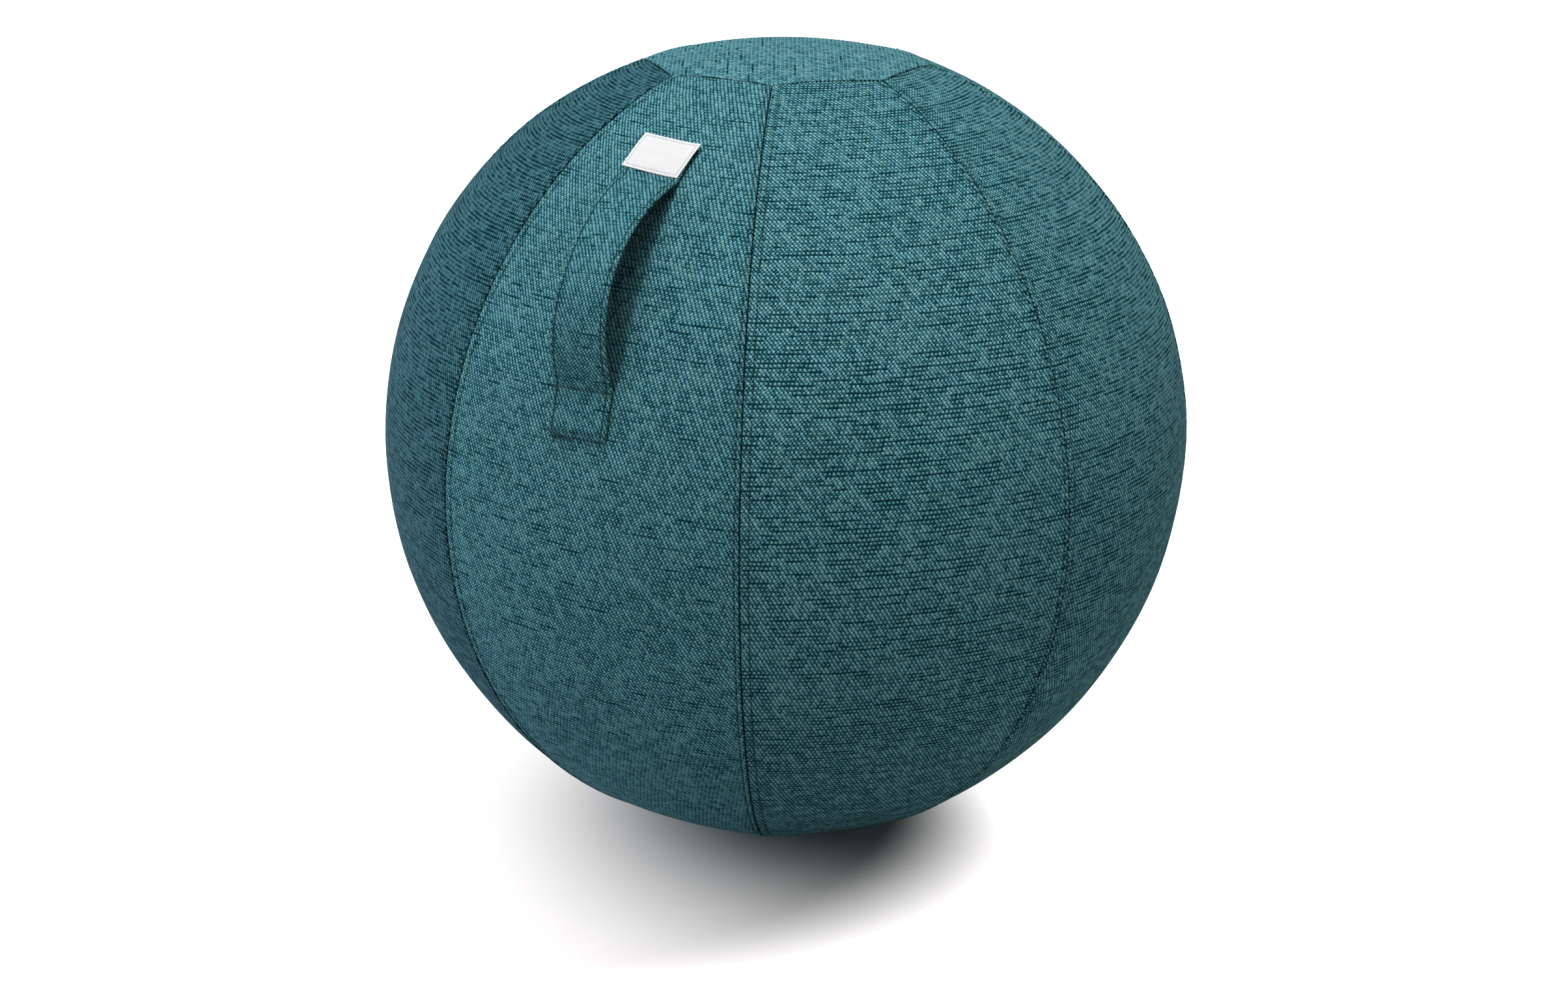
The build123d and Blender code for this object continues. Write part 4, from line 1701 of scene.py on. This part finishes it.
    def row(self, across: Array, run: Array, lift: float) -> tuple[Array, Array]:
        """Places on the strap's outer face.

        Args:
            across: distance from the strap's middle.
            run: arc length from the upper end.
            lift: distance outside the face.

        Returns:
            The places, and the face's outward directions.
        """
        line, stations, _ = self.path
        along = unit(np.gradient(line, axis=0))

        def at_run(values: Array) -> Array:
            """Values of the path's stations at the wanted arc lengths."""
            return np.stack([np.interp(run, stations, part) for part in values.T], axis=-1)

        spot, way = at_run(line), unit(at_run(along))
        out = np.stack([-way[..., 1], way[..., 0]], axis=-1)
        turn = self.twist * self.swell(run)
        level = self.thickness / 2 + lift
        aside = across * np.cos(turn) - level * np.sin(turn)
        rise = across * np.sin(turn) + level * np.cos(turn)
        reach, height = np.moveaxis(spot + rise[..., None] * out, -1, 0)
        places = np.stack([aside, -reach, height], axis=-1)
        outward = np.stack(
            [-np.sin(turn), -out[..., 0] * np.cos(turn), out[..., 1] * np.cos(turn)], axis=-1
        )
        return places, outward

    def stitches(
        self, name: str, across: Array, run: Array, thread: bpy.types.Material
    ) -> bpy.types.Object:
        """Threads on the strap's face, each dipping into the cloth at its ends.

        Args:
            name: name of the piece.
            across: distance from the strap's middle, stitches by points.
            run: arc length from the upper end, stitches by points.
            thread: the sewing thread.

        Returns:
            The piece, which rides on nothing yet.
        """
        radius = self.seam.thread_radius
        dip = np.array([-0.9, 0.2, 0.45, 0.2, -0.9]) * radius - 0.6 * self.edge_draw
        places, outward = self.row(across, run, 0.0)
        lines = places + outward * dip[None, :, None]
        piece = MeshMaker.tubes(name, lines, outward, THREAD_TAPER * radius)
        piece.data.materials.append(thread)
        return piece

    def stitch_edges(self, thread: bpy.types.Material) -> None:
        """Rows of stitches along both edges of the strap, one piece for each half.

        Args:
            thread: the sewing thread.
        """
        _, stations, at_peak = self.path
        pitch = self.seam.stitch_pitch
        share = THREAD_WAY * self.seam.stitch_share * pitch
        spans = {
            StrapHalf.UPPER: (2.5 * pitch, at_peak),
            StrapHalf.LOWER: (at_peak, stations[-1] - pitch),
        }
        for half, (start, stop) in spans.items():
            first = np.arange(start, stop - pitch, pitch)
            run = first[:, None] + share[None, :]
            edge = self.width_at(run) / 2 - self.edge_row
            piece = self.stitches(
                f"strap_edge_stitch_{half.value}",
                np.concatenate([-edge, edge]),
                np.concatenate([run, run]),
                thread,
            )
            self.hold(piece)

    def stitch_tabs(self, thread: bpy.types.Material) -> None:
        """Rows of stitches across the strap's lower tab, at its fold and at its end.

        Args:
            thread: the sewing thread.
        """
        _, stations, _ = self.path
        pitch = self.seam.stitch_pitch
        first = np.arange(-self.width / 2 + 4 * MM, self.width / 2 - 5 * MM, pitch)
        across = first[:, None] + THREAD_WAY[None, :] * self.seam.stitch_share * pitch
        places = self.tab_rows(stations[-1])
        run = np.concatenate([np.full_like(across, place) for place in places])
        piece = self.stitches(
            "strap_tab_stitch", np.concatenate([across] * len(places)), run, thread
        )
        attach(piece, "ball")

    def tie_off(self, thread: bpy.types.Material) -> None:
        """Knot where the tab's seam ends: short threads crossed over its edge, and loose tails.

        Each thread runs from the tab down to the gore past its lower edge. Its height falls
        with an eased step over the edge, and its middle arches up by a sine.

        Args:
            thread: the sewing thread.
        """
        form = self.form
        luck = np.random.default_rng(self.knot_seed)
        count = self.knot_threads
        share = np.linspace(0, 1, 7)[None, :]
        start = luck.uniform([-2.6 * MM, -3.2 * MM], [2.6 * MM, -0.8 * MM], (count, 2))
        stop = luck.uniform([-2.6 * MM, 0.8 * MM], [2.6 * MM, 2.2 * MM], (count, 2))
        tails = np.array([[-4.6 * MM, 6.5 * MM], [3.4 * MM, 5.0 * MM]])
        stop[: len(tails)] = tails
        bend = luck.uniform(-1.2 * MM, 1.2 * MM, (count, 1)) * np.sin(math.pi * share)
        aside = start[:, :1] + (stop - start)[:, :1] * share + bend
        past = start[:, 1:] + (stop - start)[:, 1:] * share
        polar = self.lower_polar + (self.tab_length + past) / form.upper_radius
        out, _ = form.meridian(polar)
        swing = (aside - self.width / 2 + self.knot_inset) / out
        top = self.sewn_gap + self.thickness
        lift = top + (0.25 * MM - top) * ease(past, -0.6 * MM, 1.4 * MM)
        lift = lift + 0.5 * MM * np.sin(math.pi * share) * luck.uniform(0.4, 1.4, (count, 1))
        lines = form.place(1, polar, swing, lift)
        radius = np.full(share.size, 1.25 * self.seam.thread_radius)
        piece = MeshMaker.tubes("strap_knot", lines, form.outward(1, polar, swing), radius)
        put_on_ball(piece, thread, "cover_fabric")


@dataclass
class Label:
    """Bare woven label, sewn a little askew over the strap's upper tab."""

    form: BallForm
    strap: Strap
    width: float = 50 * MM
    height: float = 34 * MM
    thickness: float = 0.5 * MM
    polar: float = math.radians(36.6)
    tilt: float = math.radians(7.5)
    stitch_inset: float = 2.6 * MM
    stitch_pitch: float = 2.4 * MM
    thread_radius: float = 0.16 * MM
    press_depth: float = 0.25 * MM
    press_width: float = 0.6 * MM
    curl: float = 0.5 * MM
    wave: float = 0.12 * MM
    rise: float = 0.25 * MM

    def place(self, across: Array, down: Array, lift: Array | float) -> tuple[Array, Array]:
        """Places over the strap's tab: the label's own axes turned by its tilt.

        Args:
            across: distance from the label's middle, to the right.
            down: distance from the label's middle, downwards.
            lift: distance outside the label's face.

        Returns:
            The places, and the outward directions.
        """
        right = across * math.cos(self.tilt) - down * math.sin(self.tilt)
        below = across * math.sin(self.tilt) + down * math.cos(self.tilt)
        polar = self.polar + below / self.form.upper_radius
        out, _ = self.form.meridian(polar)
        swing = right / out
        base = 2 * self.strap.sewn_gap + self.strap.thickness + self.thickness
        return (
            self.form.place(1, polar, swing, base + lift),
            self.form.outward(1, polar, swing),
        )

    def relief(self, across: Array, down: Array) -> Array:
        """Height of the label's face: pressed down by its stitching, lifting at one corner.

        Args:
            across: distance from the label's middle, to the right.
            down: distance from the label's middle, downwards.

        Returns:
            The lift.
        """
        from_side = self.width / 2 - np.abs(across)
        from_end = self.height / 2 - np.abs(down)
        edge = np.minimum(from_side, from_end)
        pressed = -self.press_depth * bump_at(edge, self.stitch_inset, self.press_width)
        curl = self.curl * ease(across, 0.3 * self.width, 0.5 * self.width)
        waves = self.wave * np.sin(across / (7 * MM) + 2 * down / (9 * MM))
        rim = waves * (1 - ease(edge, 0, 2 * MM)) + self.rise * ease(edge, 0, 1 * MM)
        return pressed + curl + rim

    def build(self, finish: bpy.types.Material, thread: bpy.types.Material) -> None:
        """Makes the label and the stitching round it.

        Args:
            finish: the label's cloth.
            thread: its sewing thread.
        """
        across, down = np.meshgrid(
            np.linspace(-self.width / 2, self.width / 2, 101),
            np.linspace(-self.height / 2, self.height / 2, 69),
        )
        points, _ = self.place(across, down, self.relief(across, down))
        piece = MeshMaker.grid("label_cloth", points, np.stack([across, down], axis=-1))
        MeshMaker.thicken(piece, self.thickness)
        put_on_ball(piece, finish, "label_fabric", "label")
        self.stitch(thread)
        LOG.info("label")

    def stitch(self, thread: bpy.types.Material) -> None:
        """Stitches round the label, a set distance inside its edges.

        Args:
            thread: the sewing thread.
        """
        wide = self.width / 2 - self.stitch_inset
        tall = self.height / 2 - self.stitch_inset
        corners = np.array(
            [[-wide, -tall], [wide, -tall], [wide, tall], [-wide, tall], [-wide, -tall]]
        )
        run = np.concatenate([[0], np.cumsum(np.linalg.norm(np.diff(corners, axis=0), axis=-1))])
        count = int(run[-1] / self.stitch_pitch)
        first = np.linspace(0, run[-1], count, endpoint=False)
        share = np.linspace(0.12, 0.8, THREAD_WAY.size) * self.stitch_pitch
        at = first[:, None] + share[None, :]
        across = np.interp(at, run, corners[:, 0])
        down = np.interp(at, run, corners[:, 1])
        dip = np.array([-0.8, 0.6, 0.9, 0.6, -0.8]) * self.thread_radius
        lines, outward = self.place(across, down, self.relief(across, down) + dip)
        radius = THREAD_TAPER * self.thread_radius
        piece = MeshMaker.tubes("label_stitch", lines, outward, radius)
        put_on_ball(piece, thread, "label_fabric")


@dataclass
class Zip:
    """Zip behind the slot in the back seam: two tapes and two coils; the metal is the CAD's."""

    centre: Array
    out: Array
    side: Array
    start: float
    stop: float
    radius: float
    tape_reach: float = 11 * MM
    tape_top: float = -1.8 * MM
    tape_thickness: float = 0.6 * MM
    tape_fall: float = math.tan(math.radians(5.2))
    chain_gap: float = 1.6 * MM
    coil_width: float = 2.0 * MM
    coil_height: float = 1.8 * MM
    coil_base: float = -1.7 * MM
    coil_pitch: float = 1.5 * MM
    wire: float = 0.34 * MM
    wire_flats: int = 5
    stations: int = 12
    stop_depth: float = 0.8 * MM
    tape_overrun: float = 1.5 * MM
    tape_ease: float = 0.05 * MM
    coil_margin: float = 2.2 * MM

    @classmethod
    def from_frame(cls) -> "Zip":
        """Reads the zip's arc from the slider's joint and from the two stops.

        Returns:
            The zip.
        """
        joint = next(j for j in frame["joints"] if j["name"] == "zip_slide")
        centre = np.array(joint["pos_m"])
        side = -np.array(joint["axis"])
        out = np.cross(np.array([0.0, 0.0, 1.0]), side)
        angles = []
        for node in ("zip_bottom_stop", "zip_top_stop"):
            low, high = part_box(node)
            spot = (np.array(low) + np.array(high)) / 2 - centre
            angles.append(math.atan2(spot[2], float(spot @ out)))
        radius = float(np.linalg.norm(spot - side * (spot @ side))) + cls.stop_depth
        return cls(centre, out, side, angles[0], angles[1], radius)

    def place(self, angle: Array, lift: Array | float, aside: Array | float) -> Array:
        """Points about the zip's arc.

        Args:
            angle: angle about the arc's centre, above level.
            lift: distance outside the seam line.
            aside: distance to the right of the seam.

        Returns:
            The points.
        """
        angle, lift, aside = np.broadcast_arrays(angle, lift, aside)
        reach = (self.radius + lift) * np.cos(angle)
        rise = (self.radius + lift) * np.sin(angle)
        up = np.array([0.0, 0.0, 1.0])
        return (
            self.centre
            + reach[..., None] * self.out
            + rise[..., None] * up
            + aside[..., None] * self.side
        )

    def build(self, tape: bpy.types.Material, coil: bpy.types.Material) -> None:
        """Makes the tapes and the coils.

        Args:
            tape: the tapes' cloth.
            coil: the coils' nylon.
        """
        for hand, sense in (("left", -1.0), ("right", 1.0)):
            self.make_tape(hand, sense, tape)
            self.make_coil(hand, sense, coil)
        LOG.info("zip tapes and coils")

    def make_tape(self, hand: str, sense: float, finish: bpy.types.Material) -> None:
        """Tape: a strip along the arc that falls away from the chain to the side.

        Args:
            hand: left or right.
            sense: minus one on the left, one on the right.
            finish: the tapes' cloth.
        """
        overrun = self.tape_overrun / self.radius
        angle = np.linspace(self.stop + overrun, self.start - overrun, 180)[:, None]
        aside = np.linspace(self.chain_gap / 2, self.tape_reach, 18)[None, :]
        lift = self.tape_top - self.tape_fall * aside - self.tape_ease
        points = self.place(angle, lift, sense * aside)
        cloth = np.stack(np.broadcast_arrays(aside, -angle * self.radius), axis=-1)
        if sense < 0:
            points, cloth = points[:, ::-1], cloth[:, ::-1]
        piece = MeshMaker.grid(f"zip_tape_cloth_{hand}", points, cloth)
        MeshMaker.thicken(piece, self.tape_thickness - 2 * self.tape_ease)
        put_on_ball(piece, finish, "zip_tape", f"zip_tape_{hand}")

    def make_coil(self, hand: str, sense: float, finish: bpy.types.Material) -> None:
        """Coil: a wire that winds round an oval while it runs along the arc.

        Args:
            hand: left or right.
            sense: minus one on the left, one on the right.
            finish: the coils' nylon.
        """
        margin = self.coil_margin / self.radius
        length = self.radius * (self.stop - self.start - 2 * margin)
        turns = int(length / self.coil_pitch)
        lap = np.linspace(0, turns, turns * self.stations + 1)
        angle = self.start + margin + lap / turns * length / self.radius
        wound = 2 * math.pi * lap + (math.pi if sense > 0 else 0.0)
        middle_aside = self.chain_gap / 2 + self.coil_width / 2
        middle_lift = self.coil_base + self.coil_height / 2
        aside = middle_aside + (self.coil_width / 2 - self.wire) * np.cos(wound)
        lift = middle_lift + (self.coil_height / 2 - self.wire) * np.sin(wound)
        line = self.place(angle, lift, sense * aside)
        middle = self.place(angle, middle_lift, sense * middle_aside)
        piece = MeshMaker.tubes(
            f"zip_coil_wire_{hand}",
            line[None],
            (line - middle)[None],
            np.full(len(line), self.wire),
            self.wire_flats,
        )
        put_on_ball(piece, finish, "zip_coil", f"zip_coil_{hand}")


@dataclass
class CadPieces:
    """Hard pieces that keep the CAD's own shape."""

    metal: SolidFinish
    rubber: SolidFinish
    valve: SolidFinish

    def dress(self) -> None:
        """Gives each piece its finish."""
        finishes = {
            self.metal: ("zip_slider", "zip_pull", "zip_top_stop", "zip_bottom_stop"),
            self.rubber: ("bladder",),
            self.valve: ("valve_seat", "valve_plug"),
        }
        for finish, names in finishes.items():
            material = finish.material()
            for name in names:
                mesh = frame["nodes"][name].data
                mesh.materials.clear()
                mesh.materials.append(material)
                LOG.info("finish of %s", name)


class Reach(Enum):
    """What a lamp lights: the ball without the floor, or the floor alone."""

    BALL = "EXCLUDE"
    FLOOR = "INCLUDE"


@dataclass(frozen=True)
class Lamp:
    """Even light from far away, as wide as a window or a soft box looks from the ball."""

    name: str
    power: float
    width: float
    way: tuple[float, float, float]
    reach: Reach
    hue: tuple[float, float, float] = (1.0, 1.0, 1.0)

    def build(self, floor: bpy.types.Object) -> None:
        """Makes the lamp, shining against its own way.

        Args:
            floor: the floor, which the lamp shines through or lights alone.
        """
        data = bpy.data.lights.new(self.name, "SUN")
        data.energy = self.power
        data.color = self.hue
        data.angle = self.width
        lamp = bpy.data.objects.new(self.name, data)
        lamp.location = Vector(self.way) * 3
        lamp.rotation_mode = "QUATERNION"
        lamp.rotation_quaternion = (-Vector(self.way)).to_track_quat("-Z", "Y")
        bpy.context.scene.collection.objects.link(lamp)
        lit = bpy.data.collections.new(f"{self.name}_reach")
        lit.objects.link(floor)
        lit.collection_objects[0].light_linking.link_state = self.reach.value
        lamp.light_linking.receiver_collection = lit
        if self.reach is Reach.BALL:
            lamp.light_linking.blocker_collection = lit


@dataclass
class Studio:
    """Pale floor, soft light from above, and the camera."""

    form: BallForm
    azimuth: float = math.radians(27.9)
    elevation: float = math.radians(17.0)
    roll: float = math.radians(0.4)
    distance: float = 6.5 * 325 * MM
    lens: float = 59.3
    sensor: float = 36.0
    image_width: float = 2408.0
    image_height: float = 1515.0
    ball_row: float = 664.0
    floor_size: float = 60.0
    room_light: float = 0.2
    bounce: float = 0.7
    exposure: float = 0.35
    contrast: float = 1.25

    def build(self) -> None:
        """Makes the floor, the lights and the camera."""
        floor = self.make_floor()
        self.make_lights(floor)
        self.make_camera()
        LOG.info("studio")

    def make_floor(self) -> bpy.types.Object:
        """Floor: a level square with a faint unevenness in its white.

        It throws back less light on the ball than it shows, as matt paper does.

        Returns:
            The floor.
        """
        half = self.floor_size / 2
        side = np.linspace(-half, half, 3)
        across, along = np.meshgrid(side, side[::-1])
        points = np.stack([across, along, np.zeros_like(across)], axis=-1)
        floor = MeshMaker.grid("floor", points, np.stack([across, along], axis=-1))
        material, graph, shader = new_material("floor_white")
        place = graph.add("ShaderNodeTexCoord").outputs["Object"]
        mottle = graph.add("ShaderNodeTexNoise", {"Vector": place, "Scale": 1.5}).outputs[0]
        white = graph.ramp(mottle, [(0.3, shade(199, 196, 196)), (0.7, shade(202, 199, 199))])
        bounced = graph.add("ShaderNodeLightPath").outputs["Is Diffuse Ray"]
        held_back = graph.math("MULTIPLY_ADD", bounced, self.bounce - 1.0, 1.0)
        paint = graph.tint(white, held_back)
        graph.fill(shader, {"Base Color": paint, "Roughness": 0.9, "Specular IOR Level": 0.1})
        floor.data.materials.append(material)
        return floor

    def make_lights(self, floor: bpy.types.Object) -> None:
        """White room, five soft lamps on the ball, and two on the floor.

        Args:
            floor: the floor.
        """
        scene = bpy.context.scene
        world = bpy.data.worlds.new("studio")
        world.use_nodes = True
        graph = Graph(world.node_tree)
        white = (1.0, 1.0, 1.0, 1.0)
        room = graph.add("ShaderNodeBackground", {"Color": white, "Strength": self.room_light})
        backdrop = graph.add("ShaderNodeBackground", {"Color": white, "Strength": 1.0})
        seen = graph.add("ShaderNodeLightPath").outputs["Is Camera Ray"]
        mixed = graph.add(
            "ShaderNodeMixShader", {0: seen, 1: room.outputs[0], 2: backdrop.outputs[0]}
        )
        graph.fill(world.node_tree.nodes["World Output"], {"Surface": mixed.outputs[0]})
        scene.world = world
        cool = (0.93, 1.0, 1.13)
        for lamp in (
            Lamp("ceiling", 5.0, math.radians(42.0), (0.0, 0.08, 1.0), Reach.BALL),
            Lamp("key", 2.8, math.radians(8.0), (-0.07, -0.54, 0.84), Reach.BALL),
            Lamp("fill_left", 0.95, math.radians(50.0), (-0.75, -0.62, 0.22), Reach.BALL, cool),
            Lamp("fill_low", 3.0, math.radians(50.0), (-1.0, -0.05, -0.5), Reach.BALL, cool),
            Lamp("fill_right", 1.5, math.radians(60.0), (0.95, 0.2, 0.3), Reach.BALL),
            Lamp("floor_right", 7.4, math.radians(35.0), (0.4, 0.6, 0.69), Reach.FLOOR),
            Lamp("floor_left", 6.6, math.radians(80.0), (-0.75, -0.28, 0.6), Reach.FLOOR),
        ):
            lamp.build(floor)
        scene.view_settings.view_transform = "Standard"
        scene.view_settings.exposure = self.exposure
        scene.view_settings.gamma = 1 / self.contrast

    def make_camera(self) -> None:
        """Camera at the picture's angle, aimed so that the ball's middle falls on its own row."""
        data = bpy.data.cameras.new("camera")
        data.lens = self.lens
        data.sensor_width = self.sensor
        camera = bpy.data.objects.new("camera", data)
        back = Vector(
            (
                math.sin(self.azimuth) * math.cos(self.elevation),
                -math.cos(self.azimuth) * math.cos(self.elevation),
                math.sin(self.elevation),
            )
        )
        centre = Vector((0, 0, self.form.equator))
        camera.location = centre + back * self.distance
        focal = self.lens / self.sensor * self.image_width
        below = math.atan((self.image_height / 2 - self.ball_row) / focal)
        look = (-back).to_track_quat("-Z", "Y").to_matrix()
        tip = Matrix.Rotation(-below, 3, "X")
        lean = Matrix.Rotation(self.roll, 3, "Z")
        camera.rotation_mode = "QUATERNION"
        camera.rotation_quaternion = (look @ lean @ tip).to_quaternion()
        bpy.context.scene.collection.objects.link(camera)
        bpy.context.scene.camera = camera


def main() -> None:
    """Builds the cover, the strap, the label, the zip and the studio, in that order."""
    logging.basicConfig(level=logging.INFO, format="%(name)s: %(message)s")
    groups = NodeGroups(WeaveBuild())
    form = BallForm()
    seam = SeamBuild()
    zip_path = ZipPath(form)
    # The cover thread is darker than the cloth: its own colour, darkened to paint the shade in the
    # dents where it sinks in.
    thread = ThreadFinish("cover_thread", shade(8, 40, 46), shade(22, 66, 72)).material()
    zip_sides = {5: ZipSide.RIGHT, 6: ZipSide.LEFT}
    plain = HopsackFinish("cover_cloth_plain", (0.93, 0.93, 0.93, 1.0), 0.3, 0.3).material(groups)
    # These tints paint shade on whole gores: darker where a gore faces away from the light, and
    # darker and bluer on gore 8, on the left.
    panel_shades = {
        1: HopsackFinish("cover_cloth_1", (0.88, 0.93, 0.935, 1.0), 0.33, -0.12),
        2: HopsackFinish("cover_cloth_2", (0.97, 0.97, 0.96, 1.0), 0.28, 0.42),
        3: HopsackFinish("cover_cloth_3", (0.92, 0.92, 0.91, 1.0), 0.26, 0.42),
        7: HopsackFinish("cover_cloth_7", (0.8, 0.83, 0.84, 1.0), 0.28, 0.4),
        8: HopsackFinish("cover_cloth_8", (0.575, 0.625, 0.655, 1.0), 0.26, 0.45),
    }
    grains = {1: math.radians(3.0)}
    for number in range(1, form.gores + 1):
        gore = Gore(form, seam, zip_path, number, zip_sides.get(number, ZipSide.NONE))
        gore.grain = grains.get(number, 0.0)
        gore.build(panel_shades[number].material(groups) if number in panel_shades else plain, thread)
    cap = HopsackFinish("cover_cloth_cap", binder=0.34, slub_share=-0.1).material(groups)
    EndCap(form, seam, CoverEnd.TOP, math.radians(62)).build(cap)
    EndCap(form, seam, CoverEnd.BASE, math.radians(20)).build(cap)
    strap = Strap(form, seam)
    strap_cloth = HopsackFinish("strap_cloth", (0.76, 0.85, 0.86, 1.0), 0.4, -0.2)
    strap.build(strap_cloth.material(groups), thread)
    label_cloth = TapeFinish(
        "label_cloth", shade(130, 130, 130), shade(144, 144, 144), 0.45 * MM, relief=0.06 * MM
    ).material(groups)
    # The label's thread is grey, darker than the label: painted shade in the holes where it sinks
    # in.
    label_thread = ThreadFinish("label_thread", shade(92, 96, 100), shade(128, 131, 134))
    Label(form, strap).build(label_cloth, label_thread.material())
    zip_tape = TapeFinish("zip_tape_cloth", shade(12, 34, 40), shade(30, 66, 74), 0.8 * MM, 0.5)
    zip_coil = SolidFinish("zip_nylon", Surface.NYLON, shade(14, 30, 35), shade(24, 46, 52), 0.35)
    Zip.from_frame().build(zip_tape.material(groups), zip_coil.material())
    CadPieces(
        SolidFinish("zip_gunmetal", Surface.METAL, shade(92, 94, 98), shade(150, 150, 150), 0.34),
        SolidFinish(
            "bladder_rubber", Surface.RUBBER, shade(96, 98, 102), shade(120, 122, 126), 0.6
        ),
        SolidFinish(
            "valve_plastic", Surface.NYLON, shade(225, 225, 222), shade(205, 205, 200), 0.4
        ),
    ).dress()
    Studio(form).build()


if __name__ == "__main__":
    main()
